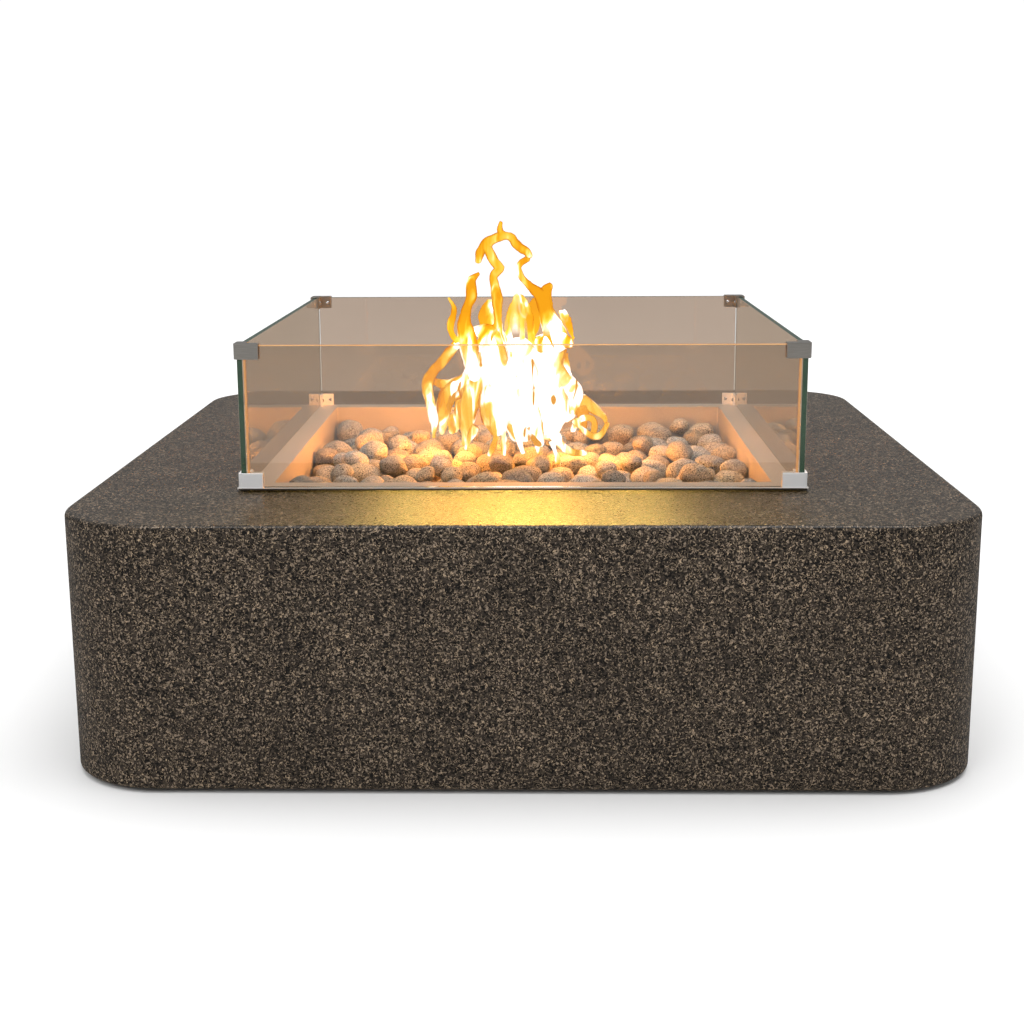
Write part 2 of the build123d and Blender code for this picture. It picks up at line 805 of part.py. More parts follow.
def stone_solid(radius):
    """Eight-sided tumbled stone, widest at the middle, flat on top and below."""
    half_height = radius * stone_flatness
    levels = [
        (-1.0, stone_cap),
        (-stone_shoulder_height, stone_shoulder),
        (0.0, 1.0),
        (stone_shoulder_height, stone_shoulder),
        (1.0, stone_cap),
    ]
    rings = []
    for level, share in levels:
        corner = radius * share / math.cos(math.pi / 8)
        turns = [math.radians(22.5 + 45 * step) for step in range(8)]
        z = level * half_height
        rings.append([(corner * math.cos(turn), corner * math.sin(turn), z) for turn in turns])
    return ConvexPolyhedron([corner for ring in rings for corner in ring])


def lava_stones():
    places = stone_places()
    return gather([Pos(x, y, gravel_top + height) * stone_solid(radius) for x, y, height, radius in places])


# --- glass wind guard ------------------------------------------------------------------------
def glass_side(side):
    half = glass_outer - glass_end_gap
    near, far = sorted((side * glass_inner, side * glass_outer))
    return block(near, far, -half, half, glass_base, glass_top)


def glass_cross(side):
    half = glass_inner - glass_joint_gap
    near, far = sorted((side * glass_inner, side * glass_outer))
    return block(-half, half, near, far, glass_base, glass_top)


def clip_body(z0, z1, slot0, slot1):
    """Corner clip at the right back corner, with slots for two panels."""
    out = guard_half
    start = out - clip_arm
    inner = glass_inner - clip_fit
    clip = block(start, out, start, out, z0, z1)
    corner = clip.edges().filter_by(Axis.Z).sort_by(Axis.X)[-2:].sort_by(Axis.Y)[-1]
    clip = fillet(corner, clip_corner)
    clip -= block(inner, glass_outer, start, glass_outer, slot0, slot1)
    clip -= block(start, glass_outer, inner, glass_outer, slot0, slot1)
    pocket = inner - clip_sheet
    clip -= block(start, pocket, start, pocket, z0, z1)
    screw_z = (slot0 + slot1) / 2
    hole = clip_screw_radius + thread_clearance
    clip -= rod_x(hole, pocket, inner, start + clip_screw_inset, screw_z)
    clip -= rod_y(hole, pocket, inner, start + clip_screw_inset, screw_z)
    return clip


def clip_levels():
    """Bottom clip and top clip: (lower end, upper end, slot from, slot to)."""
    bottom = (lip_top, lip_top + clip_bottom_height, glass_base, lip_top + clip_bottom_height)
    top_end = glass_top + clip_cap
    top = (top_end - clip_top_height, top_end, top_end - clip_top_height, glass_top)
    return bottom, top


def clip_screws():
    inner = glass_inner - clip_fit - clip_sheet
    place = guard_half - clip_arm + clip_screw_inset
    solids = []
    for level in clip_levels():
        z = (level[2] + level[3]) / 2
        screw = rod_x(clip_screw_radius, inner, glass_inner, place, z)
        screw += rod_x(clip_screw_head_radius, inner - clip_screw_head, inner, place, z)
        solids += at_corners(screw)
        screw = rod_y(clip_screw_radius, inner, glass_inner, place, z)
        screw += rod_y(clip_screw_head_radius, inner - clip_screw_head, inner, place, z)
        solids += at_corners(screw)
    return gather(solids)


# --- control panel ---------------------------------------------------------------------------
def control_panel():
    half_w = panel_width / 2
    half_h = panel_height / 2
    panel = block(panel_x - half_w, panel_x + half_w, back_face, panel_front,
                  panel_z - half_h, panel_z + half_h)
    panel = fillet(panel.edges().filter_by(Axis.Y), plate_corner)
    panel -= rod_y(nose_radius + thread_clearance, back_face, panel_front, valve_x, panel_z)
    panel -= rod_y(igniter_radius + thread_clearance, back_face, panel_front, igniter_x, panel_z)
    panel -= rod_y(inlet_shank_radius + thread_clearance, back_face, panel_front, inlet_x, inlet_z)
    for x, z in panel_screw_places():
        panel -= rod_y(screw_radius + thread_clearance, back_face, panel_front, x, z)
    return panel


def fixing_screws():
    """Screws of the control panel, the door frame and the side vents."""
    solids = []
    for face, places in ((panel_front, panel_screw_places()), (frame_front, frame_screw_places())):
        for x, z in places:
            screw = rod_y(screw_radius, back_face - screw_length, face, x, z)
            solids.append(screw + rod_y(screw_head_radius, face, face + screw_head, x, z))
    face = side_face + vent_sheet
    for y, z in vent_screw_places():
        screw = rod_x(screw_radius, side_face - screw_length, face, y, z)
        screw += rod_x(screw_head_radius, face, face + screw_head, y, z)
        solids += [screw, mirror(screw, about=Plane.YZ)]
    return gather(solids)


def gas_valve():
    half_w = valve_width / 2
    half_h = valve_height / 2
    body = block(valve_x - half_w, valve_x + half_w, valve_back, back_face,
                 panel_z - half_h, panel_z + half_h)
    body += rod_y(nose_radius, back_face, nose_end, valve_x, panel_z)
    bore_end = nose_end - plunger_setback - plunger_length - plunger_travel - plunger_spare
    return body - rod_y(plunger_radius + running_clearance, bore_end, nose_end, valve_x, panel_z)


def valve_plunger():
    end = nose_end - plunger_setback
    plunger = rod_y(plunger_radius, end - plunger_length, end, valve_x, panel_z)
    return plunger - rod_y(spindle_radius + running_clearance, end - plunger_length, end, valve_x, panel_z)


def valve_spindle():
    start = nose_end - plunger_setback - plunger_length
    return rod_y(spindle_radius, start, knob_back + knob_grip, valve_x, panel_z)


def control_knob():
    """Fluted knob with a pointer groove."""
    front = knob_back + knob_height
    knob = rod_y(knob_radius, knob_back, front, valve_x, panel_z)
    knob = fillet(knob.edges().group_by(Axis.Y)[-1], knob_edge_radius)
    for step in range(knob_flute_count):
        angle = math.radians(360 / knob_flute_count * (step + 0.5))
        x = valve_x + (knob_radius + knob_flute_radius / 2) * math.cos(angle)
        z = panel_z + (knob_radius + knob_flute_radius / 2) * math.sin(angle)
        knob -= rod_y(knob_flute_radius, knob_back + knob_skirt, front, x, z)
    half = pointer_width / 2
    knob -= block(valve_x - half, valve_x + half, front - pointer_depth, front,
                  panel_z + knob_radius / 3, panel_z + knob_radius - pointer_inset)
    return knob - rod_y(spindle_radius + knob_fit, knob_back, knob_back + knob_grip, valve_x, panel_z)


def knob_bezel():
    bezel = rod_y(bezel_radius, panel_front, bezel_front, valve_x, panel_z)
    bezel = fillet(bezel.edges().group_by(Axis.Y)[-1], bezel_edge_radius)
    return bezel - rod_y(nose_radius + thread_clearance, panel_front, bezel_front, valve_x, panel_z)


def igniter_body():
    front = panel_front + igniter_flange
    body = rod_y(igniter_radius, panel_front - igniter_depth, front, igniter_x, panel_z)
    body += rod_y(igniter_flange_radius, panel_front, front, igniter_x, panel_z)
    bore_end = front + button_proud - button_length - button_travel - button_spare
    return body - rod_y(button_radius + running_clearance, bore_end, front, igniter_x, panel_z)


def igniter_button():
    front = panel_front + igniter_flange + button_proud
    button = rod_y(button_radius, front - button_length, front, igniter_x, panel_z)
    return fillet(button.edges().group_by(Axis.Y)[-1], button_edge_radius)


def bulkhead_nuts():
    """Nuts behind the panel, on the igniter and on the inlet."""
    low = back_face - bulkhead_nut_height
    first = hex_y(igniter_nut_across, low, back_face, igniter_x, panel_z)
    first -= rod_y(igniter_radius + thread_clearance, low, back_face, igniter_x, panel_z)
    second = hex_y(inlet_nut_across, low, back_face, inlet_x, inlet_z)
    second -= rod_y(inlet_shank_radius + thread_clearance, low, back_face, inlet_x, inlet_z)
    return gather([first, second])


def inlet_fitting():
    """Brass bulkhead union with a male flare for the supply hose."""
    hex_end = panel_front + inlet_hex
    tip = hex_end + inlet_flare_length
    shank_end = panel_front - inlet_shank
    flare = rod_y(inlet_radius, hex_end, tip, inlet_x, inlet_z)
    flare = chamfer(flare.edges().group_by(Axis.Y)[-1], inlet_tip_chamfer)
    fitting = flare + hex_y(inlet_hex_across, panel_front, hex_end, inlet_x, inlet_z)
    fitting += rod_y(inlet_shank_radius, shank_end, panel_front, inlet_x, inlet_z)
    fitting += rod_y(inlet_tail_radius, valve_back, shank_end, inlet_x, inlet_z)
    return fitting - rod_y(inlet_bore, valve_back, tip, inlet_x, inlet_z)


# --- access door -----------------------------------------------------------------------------
def door_frame():
    half_w = door_width / 2 + frame_side
    half_h = door_height / 2 + frame_rail
    frame = block(door_x - half_w, door_x + half_w, back_face, frame_front,
                  door_z - half_h, door_z + half_h)
    frame = fillet(frame.edges().filter_by(Axis.Y), plate_corner)
    open_w = door_opening_width / 2
    open_h = door_opening_height / 2
    sleeve_w = open_w + sleeve_sheet
    sleeve_h = open_h + sleeve_sheet
    frame += block(door_x - sleeve_w, door_x + sleeve_w, inner_y, back_face,
                   door_z - sleeve_h, door_z + sleeve_h)
    frame -= block(door_x - open_w, door_x + open_w, inner_y, frame_front,
                   door_z - open_h, door_z + open_h)
    for x, z in frame_screw_places():
        frame -= rod_y(screw_radius + thread_clearance, back_face, frame_front, x, z)
    return frame


def louvres(count, pitch, length):
    """Slots and hooded blades on a plate facing +Y, about the origin; the plate's face is at y = 0."""
    slots = []
    blades = []
    for step in range(count):
        z = (step - (count - 1) / 2) * pitch
        slots.append(Pos(0, 0, z) * Box(length, louvre_cut, louvre_slot))
        tilt = Pos(0, 0, z + louvre_slot / 2) * Rot(louvre_angle, 0, 0)
        blade = Box(length, louvre_blade, louvre_blade_sheet)
        blades.append(tilt * Pos(0, louvre_blade / 2 - louvre_root, 0) * blade)
    return slots, blades


def access_door():
    half_w = door_width / 2
    half_h = door_height / 2
    door = block(door_x - half_w, door_x + half_w, door_back, door_front, door_z - half_h, door_z + half_h)
    rim_w = door_opening_width / 2 - door_flange_inset
    rim_h = door_opening_height / 2 - door_flange_inset
    rim = block(door_x - rim_w, door_x + rim_w, door_back - door_flange, door_back,
                door_z - rim_h, door_z + rim_h)
    rim_w -= door_sheet
    rim_h -= door_sheet
    rim -= block(door_x - rim_w, door_x + rim_w, door_back - door_flange, door_back,
                 door_z - rim_h, door_z + rim_h)
    door += rim
    slots, blades = louvres(louvre_count, louvre_pitch, louvre_length)
    for slot in slots:
        door -= Pos(door_x, door_front, door_z) * slot
    for blade in blades:
        door += Pos(door_x, door_front, door_z) * mirror(blade, about=Plane.XY)
    return door


def door_pull():
    x = door_x - door_width / 2 + pull_inset
    half = pull_length / 2
    reach = door_front + pull_reach
    pull = rod_z(pull_radius, door_z - half, door_z + half, x, reach)
    for side in (-1, 1):
        pull += rod_y(pull_post_radius, door_front, reach, x, door_z + side * (half - 2 * pull_radius))
    return pull


def door_magnets():
    start = door_x - door_opening_width / 2
    end = start + door_flange_inset - magnet_gap
    solids = []
    for side in (-1, 1):
        z = door_z + side * magnet_spacing / 2
        solids.append(block(start, end, inner_y + magnet_setback, back_face,
                            z - magnet_height / 2, z + magnet_height / 2))
    return gather(solids)


def hinge_levels():
    return [door_z - hinge_spacing / 2, door_z + hinge_spacing / 2]


def hinge_frame_leaves():
    solids = []
    for middle in hinge_levels():
        low = middle - hinge_height / 2
        high = middle + hinge_height / 2
        leaf = block(hinge_x, hinge_x + leaf_width, frame_front, frame_front + leaf_sheet, low, high)
        leaf += rod_z(knuckle_radius, low, high, hinge_x, hinge_y)
        half = door_knuckle / 2 + knuckle_gap
        reach = knuckle_radius + knuckle_gap
        leaf -= block(hinge_x - reach, hinge_x + reach, frame_front, hinge_y + reach,
                      middle - half, middle + half)
        leaf -= rod_z(pin_radius + running_clearance, low, high, hinge_x, hinge_y)
        solids.append(leaf)
    return gather(solids)


def hinge_door_leaves():
    solids = []
    for middle in hinge_levels():
        low = middle - door_knuckle / 2
        high = middle + door_knuckle / 2
        leaf = block(hinge_x - leaf_width - hinge_offset, hinge_x, door_front, door_front + leaf_sheet,
                     low, high)
        leaf += rod_z(knuckle_radius, low, high, hinge_x, hinge_y)
        leaf -= rod_z(pin_radius + running_clearance, low, high, hinge_x, hinge_y)
        solids.append(leaf)
    return gather(solids)


def hinge_pins():
    solids = []
    for middle in hinge_levels():
        low = middle - hinge_height / 2
        high = middle + hinge_height / 2
        pin = rod_z(pin_radius, low, high, hinge_x, hinge_y)
        pin += rod_z(pin_head_radius, high, high + pin_head, hinge_x, hinge_y)
        solids.append(pin)
    return gather(solids)


# --- side vents ------------------------------------------------------------------------------
def vent_grille():
    """Louvred plate on the right side wall."""
    half_w = vent_width / 2
    half_h = vent_height / 2
    grille = block(-half_w, half_w, 0, vent_sheet, -half_h, half_h)
    grille = fillet(grille.edges().filter_by(Axis.Y), plate_corner)
    slots, blades = louvres(vent_slot_count, vent_pitch, vent_width - 2 * vent_border - 2 * vent_slot_margin)
    for slot in slots:
        grille -= slot
    for blade in blades:
        grille += Pos(0, vent_sheet, 0) * mirror(blade, about=Plane.XY)
    for y, z in vent_screw_places():
        grille -= rod_y(screw_radius + thread_clearance, 0, vent_sheet, -y, z - vent_z)
    return Pos(side_face, 0, vent_z) * Rot(0, 0, -90) * grille


# --- write one file per node -----------------------------------------------------------------
bottom_level, top_level = clip_levels()
bottom_clips = at_corners(clip_body(*bottom_level))
top_clips = at_corners(clip_body(*top_level))
corner_names = ("back_right", "front_right", "back_left", "front_left")
right_grille = vent_grille()

nodes = {
    "enclosure_shell": enclosure_shell(),
    "corner_plates": corner_plates(),
    "foot_lock_nuts": foot_lock_nuts(),
    "burner_pan": burner_pan(),
    "heat_shield": heat_shield(),
    "h_burner": h_burner(),
    "burner_supports": burner_supports(),
    "pan_lock_nut": pan_lock_nut(),
    "burner_elbow": burner_elbow(),
    "air_mixer": air_mixer(),
    "air_shutter": air_shutter(),
    "gas_orifice": gas_orifice(),
    "pilot_bracket": pilot_bracket(),
    "pilot_hood": pilot_hood(),
    "spark_electrode": spark_electrode(),
    "thermocouple": thermocouple(),
    "supply_line": supply_line(),
    "burner_line": burner_line(),
    "pilot_line": pilot_line(),
    "ignition_wire": ignition_wire(),
    "thermocouple_lead": thermocouple_lead(),
    "gravel_bed": gravel_bed(),
    "lava_stones": lava_stones(),
    "glass_left": glass_side(-1),
    "glass_right": glass_side(1),
    "glass_front": glass_cross(-1),
    "glass_back": glass_cross(1),
    "clip_screws": clip_screws(),
    "control_panel": control_panel(),
    "fixing_screws": fixing_screws(),
    "gas_valve": gas_valve(),
    "valve_plunger": valve_plunger(),
    "valve_spindle": valve_spindle(),
    "control_knob": control_knob(),
    "knob_bezel": knob_bezel(),
    "igniter_body": igniter_body(),
    "igniter_button": igniter_button(),
    "bulkhead_nuts": bulkhead_nuts(),
    "inlet_fitting": inlet_fitting(),
    "door_frame": door_frame(),
    "access_door": access_door(),
    "door_pull": door_pull(),
    "door_magnets": door_magnets(),
    "hinge_frame_leaves": hinge_frame_leaves(),
    "hinge_door_leaves": hinge_door_leaves(),
    "hinge_pins": hinge_pins(),
    "vent_grille_right": right_grille,
    "vent_grille_left": mirror(right_grille, about=Plane.YZ),
}
for name, sx, sy in (("fl", -1, -1), ("fr", 1, -1), ("bl", -1, 1), ("br", 1, 1)):
    nodes["levelling_foot_" + name] = levelling_foot(sx, sy)
for name, bottom_clip, top_clip in zip(corner_names, bottom_clips, top_clips):
    nodes["bottom_clip_" + name] = bottom_clip
    nodes["top_clip_" + name] = top_clip

os.makedirs("parts", exist_ok=True)
for name, shape in nodes.items():
    export_step(Pos(0, -origin_shift, 0) * shape, "parts/" + name + ".step")
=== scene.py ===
import math
import random

import bmesh
import bpy
from mathutils import Matrix, Vector


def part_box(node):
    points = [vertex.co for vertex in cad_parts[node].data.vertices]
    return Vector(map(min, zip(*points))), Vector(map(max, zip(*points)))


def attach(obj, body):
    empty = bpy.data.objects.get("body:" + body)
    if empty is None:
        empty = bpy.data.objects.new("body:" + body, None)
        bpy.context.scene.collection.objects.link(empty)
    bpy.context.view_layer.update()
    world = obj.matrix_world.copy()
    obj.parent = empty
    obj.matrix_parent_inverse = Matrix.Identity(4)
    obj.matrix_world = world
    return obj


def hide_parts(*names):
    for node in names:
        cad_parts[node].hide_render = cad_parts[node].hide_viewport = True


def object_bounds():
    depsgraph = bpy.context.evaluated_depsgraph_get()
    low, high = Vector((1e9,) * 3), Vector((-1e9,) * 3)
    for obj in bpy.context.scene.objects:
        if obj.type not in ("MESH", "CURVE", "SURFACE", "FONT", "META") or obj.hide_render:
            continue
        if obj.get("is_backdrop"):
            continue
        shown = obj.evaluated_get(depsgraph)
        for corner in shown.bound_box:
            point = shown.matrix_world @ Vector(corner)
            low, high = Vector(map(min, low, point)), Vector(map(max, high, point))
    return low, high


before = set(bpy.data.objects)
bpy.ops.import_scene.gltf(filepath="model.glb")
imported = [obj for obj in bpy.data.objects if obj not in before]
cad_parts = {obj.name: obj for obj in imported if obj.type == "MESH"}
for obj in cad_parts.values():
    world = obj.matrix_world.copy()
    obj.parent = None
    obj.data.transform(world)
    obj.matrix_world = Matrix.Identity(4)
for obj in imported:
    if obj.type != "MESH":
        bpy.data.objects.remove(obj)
cad_low, cad_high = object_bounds()
mm = 0.001

# --- Camera ---
# Stands about two metres in front of the table, a little above the wind guard,
# and looks slightly down at it.
eye = Vector((0.0225, -1.9526, 0.6082))
pitch = math.radians(12.401)
yaw = math.radians(-1.153)
roll = math.radians(-0.278)
forward = Vector((math.sin(yaw) * math.cos(pitch), math.cos(yaw) * math.cos(pitch), -math.sin(pitch)))
level = Vector((math.cos(yaw), -math.sin(yaw), 0))
upright = level.cross(forward)
right = level * math.cos(roll) + upright * math.sin(roll)
up = upright * math.cos(roll) - level * math.sin(roll)
bpy.ops.object.camera_add()
camera = bpy.context.object
camera.matrix_world = Matrix.Translation(eye) @ Matrix((right, up, -forward)).transposed().to_4x4()
camera.data.sensor_width = 36.0
camera.data.lens = 56.61
bpy.context.scene.camera = camera

# --- Studio floor and light ---
# A white painted floor without an edge, a room that is white behind the table and dimmer in front, and two
# large soft lamps, one overhead and one high in front. In mirrors the room shows at about a quarter of its
# brightness, which keeps most of the white room out of them.


def linear(code):
    """An sRGB hex colour as linear RGBA."""
    parts = [int(code[i:i + 2], 16) / 255 for i in (0, 2, 4)]
    return (*[c / 12.92 if c <= 0.04045 else ((c + 0.055) / 1.055) ** 2.4 for c in parts], 1.0)


def feed(node, inputs):
    """Sets each named input to a number, a hex colour, a socket or another node's main output. A
    range, From or To, is a pair."""
    for name, value in inputs.items():
        if name in ("From", "To"):
            feed(node, {name + " Min": value[0], name + " Max": value[1]})
            continue
        if isinstance(value, bpy.types.Node):
            value = value.outputs[2 if value.bl_idname == "ShaderNodeMix" else 0]
        if isinstance(value, bpy.types.NodeSocket):
            node.id_data.links.new(value, node.inputs[name])
        else:
            node.inputs[name].default_value = linear(value) if isinstance(value, str) else value


def add(tree, kind, inputs=None, **settings):
    """Adds one shader node. A Mix mixes colours: its share is input 0, and they are 6 and 7."""
    node = tree.nodes.new("ShaderNode" + kind)
    if kind == "Mix":
        node.data_type = "RGBA"
    for name, value in settings.items():
        setattr(node, name, value)
    feed(node, inputs or {})
    return node


def new_material(name, inputs):
    """A material with one Principled shader; gives it, its nodes, its shader and Object coordinates."""
    material = bpy.data.materials.new(name)
    material.use_nodes = True
    tree = material.node_tree
    tree.nodes.clear()
    shader = add(tree, "BsdfPrincipled", inputs)
    add(tree, "OutputMaterial", {"Surface": shader})
    place = add(tree, "TexCoord").outputs["Object"]
    return material, tree, shader, place


def mottled(name, inputs, grain, detail, dark, light, gloss=None, relief=None):
    """A material that drifts between two colours in grains of one size, or drawn out to three
    counts a metre. The roughness can follow the grains between two values, and so can a relief
    of a depth and strength."""
    material, tree, shader, place = new_material(name, inputs)
    if isinstance(grain, tuple):
        place = add(tree, "Mapping", {"Vector": place, "Scale": grain})
        grain = 1
    grains = add(tree, "TexNoise", {"Vector": place, "Scale": 1 / grain, "Detail": detail})
    tone = add(tree, "Mix", {0: grains, 6: dark, 7: light})
    feed(shader, {"Base Color": tone})
    if gloss:
        rough = add(tree, "MapRange", {"Value": grains, "To": gloss})
        feed(shader, {"Roughness": rough})
    if relief:
        bump = add(tree, "Bump", {"Height": grains, "Distance": relief[0], "Strength": relief[1]})
        feed(shader, {"Normal": bump})
    return material


bpy.context.scene.view_settings.view_transform = "Standard"
world = bpy.data.worlds.new("white_room")
bpy.context.scene.world = world
world.use_nodes = True
tree = world.node_tree
tree.nodes.clear()
direction = add(tree, "SeparateXYZ", {0: add(tree, "TexCoord").outputs["Generated"]})
brightness = add(tree, "MapRange", {"Value": direction.outputs[1], "From": (-0.35, 0.25),
                                    "To": (0.5, 1.03)})
mirrored = add(tree, "LightPath").outputs["Glossy Depth"]
flagged = add(tree, "MapRange", {"Value": mirrored, "To": (1.0, 0.23)})
brightness = add(tree, "Math", {0: brightness, 1: flagged}, operation="MULTIPLY")
room = add(tree, "Background", {"Color": "ffffff", "Strength": brightness})
add(tree, "OutputWorld", {"Surface": room})

bpy.ops.mesh.primitive_plane_add(size=40, location=(0, 0, 0))
floor = bpy.context.object
floor.name = "studio_floor"
floor_paint = mottled("matt_white_floor_paint", {"Roughness": 0.9, "Emission Color": "ffffff"},
                      1 / 3, 2.0, "f6f6f6", "fafafa")
tree = floor_paint.node_tree
# Painted light: the floor glows from none within 0.9 m of the table up to 0.35 beyond 3 m, so that the
# floor away from the table reads white.
away = add(tree, "VectorMath", {0: add(tree, "TexCoord").outputs["Object"]}, operation="LENGTH")
painted_floor_glow = add(tree, "MapRange", {"Value": away.outputs["Value"], "From": (0.9, 3.0), "To": (0.0, 0.35)})
feed(tree.nodes["Principled BSDF"], {"Emission Strength": painted_floor_glow})
floor.data.materials.append(floor_paint)
floor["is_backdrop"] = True

lit_point = Vector((0, 0, 200 * mm))
for name, place, size, watts in (
    ("overhead_softbox", (0.3, -0.4, 3.2), 3.0, 70.0),
    ("front_softbox", (-1.6, -3.0, 2.6), 1.6, 26.0),
):
    bpy.ops.object.light_add(type="AREA", location=place)
    lamp = bpy.context.object
    lamp.name = name
    lamp.data.size = size
    lamp.data.energy = watts
    lamp.rotation_euler = (lit_point - Vector(place)).to_track_quat("-Z", "Y").to_euler()

# --- Table body ---
# One hollow casting of glass-fibre concrete with a granite-look aggregate, ground and sealed.
# It is cast upside down in one mould, so it has no seams; the pan drops in its top opening.


def deselect():
    """Leaves edit mode and selects nothing."""
    if bpy.context.object and bpy.context.object.mode != "OBJECT":
        bpy.ops.object.mode_set(mode="OBJECT")
    bpy.ops.object.select_all(action="DESELECT")


def choose(piece):
    """Makes the piece the only selected object."""
    deselect()
    piece.select_set(True)
    bpy.context.view_layer.objects.active = piece


def block(name, corner, opposite):
    """A box between two opposite corners, with its place in its mesh, ready to be shaped."""
    deselect()
    corner = Vector(corner)
    opposite = Vector(opposite)
    bpy.ops.mesh.primitive_cube_add(size=1, location=(corner + opposite) / 2)
    piece = bpy.context.object
    piece.name = name
    piece.scale = [abs(side) for side in opposite - corner]
    bpy.ops.object.transform_apply(location=True, rotation=True, scale=True)
    return piece


def pick(piece, kind, wanted):
    """Opens the piece in edit mode with only the wanted faces or edges selected."""
    choose(piece)
    bpy.ops.object.mode_set(mode="EDIT")
    bpy.ops.mesh.select_mode(type=kind)
    bpy.ops.mesh.select_all(action="DESELECT")
    mesh = bmesh.from_edit_mesh(piece.data)
    for item in mesh.faces if kind == "FACE" else mesh.edges:
        if wanted(item):
            item.select_set(True)
    bmesh.update_edit_mesh(piece.data)


def every(item):
    """Wants all faces or edges."""
    return True


def upright_edge(edge):
    """Wants the edges that stand more or less upright."""
    a, b = (vertex.co for vertex in edge.verts)
    return abs(a.z - b.z) > 0.9 * (a - b).length


def above(height):
    """Wants the edges that lie wholly above a height."""
    return lambda edge: all(vertex.co.z > height for vertex in edge.verts)


def below(height):
    """Wants the edges that lie wholly below a height."""
    return lambda edge: all(vertex.co.z < height for vertex in edge.verts)


def round_edges(piece, wanted, radius, segments):
    """Rounds the wanted edges."""
    pick(piece, "EDGE", wanted)
    bpy.ops.mesh.bevel(offset=radius, segments=segments, affect="EDGES", clamp_overlap=True)
    bpy.ops.object.mode_set(mode="OBJECT")


def apply(piece, kind, **settings):
    """Adds a modifier with its settings and applies it."""
    choose(piece)
    modifier = piece.modifiers.new(kind.lower(), kind)
    for name, value in settings.items():
        setattr(modifier, name, value)
    bpy.ops.object.modifier_apply(modifier=modifier.name)


def cut(piece, cutter):
    """Takes the cutter's shape out of the piece."""
    apply(piece, "BOOLEAN", object=cutter, operation="DIFFERENCE", solver="EXACT")
    bpy.data.objects.remove(cutter)


def smooth(piece, degrees):
    """Smooth shading that stays sharp at edges above the angle, with flat faces kept flat."""
    choose(piece)
    bpy.ops.object.shade_smooth_by_angle(angle=math.radians(degrees))
    apply(piece, "WEIGHTED_NORMAL", keep_sharp=True)


def finish(piece, body, slot, *nodes):
    """Ties a finished piece to its body and hides the nodes it stands for; the slot is not used."""
    deselect()
    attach(piece, body)
    if nodes:
        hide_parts(*nodes)


wall = 19 * mm
slab = 30 * mm
past = 100 * mm  # how far a cutter reaches out of what it cuts
shell_low, shell_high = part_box("enclosure_shell")
middle = (shell_low + shell_high) / 2
wall_face = 457 * mm
body_corner = 100 * mm
pan_cutout = 270 * mm

table_body = block("table_body", shell_low, shell_high)
round_edges(table_body, upright_edge, body_corner, 24)
round_edges(table_body, above(shell_high.z - mm), 6 * mm, 6)
round_edges(table_body, below(shell_low.z + mm), 3 * mm, 3)
hollow = block("hollow", shell_low + Vector((wall, wall, -past)), shell_high - Vector((wall, wall, slab)))
round_edges(hollow, upright_edge, body_corner - wall, 16)
cut(table_body, hollow)
top_centre = Vector((middle.x, middle.y, shell_high.z))
opening = Vector((pan_cutout, pan_cutout, past))
cut(table_body, block("opening", top_centre - opening, top_centre + opening))
cutter_depth = 60 * mm
for node, half_width, half_height in (
    ("control_panel", 100 * mm, 40 * mm),
    ("access_door", 127 * mm, 65 * mm),
    ("vent_grille_left", 105 * mm, 27 * mm),
    ("vent_grille_right", 105 * mm, 27 * mm),
):
    plate_low, plate_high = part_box(node)
    through = 1 if plate_high.x - plate_low.x > plate_high.y - plate_low.y else 0
    centre = (plate_low + plate_high) / 2
    reach = Vector((half_width, half_width, half_height))
    reach[through] = cutter_depth
    centre[through] = middle[through] + math.copysign(wall_face, centre[through])
    cut(table_body, block("plate_hole", centre - reach, centre + reach))
smooth(table_body, 40)


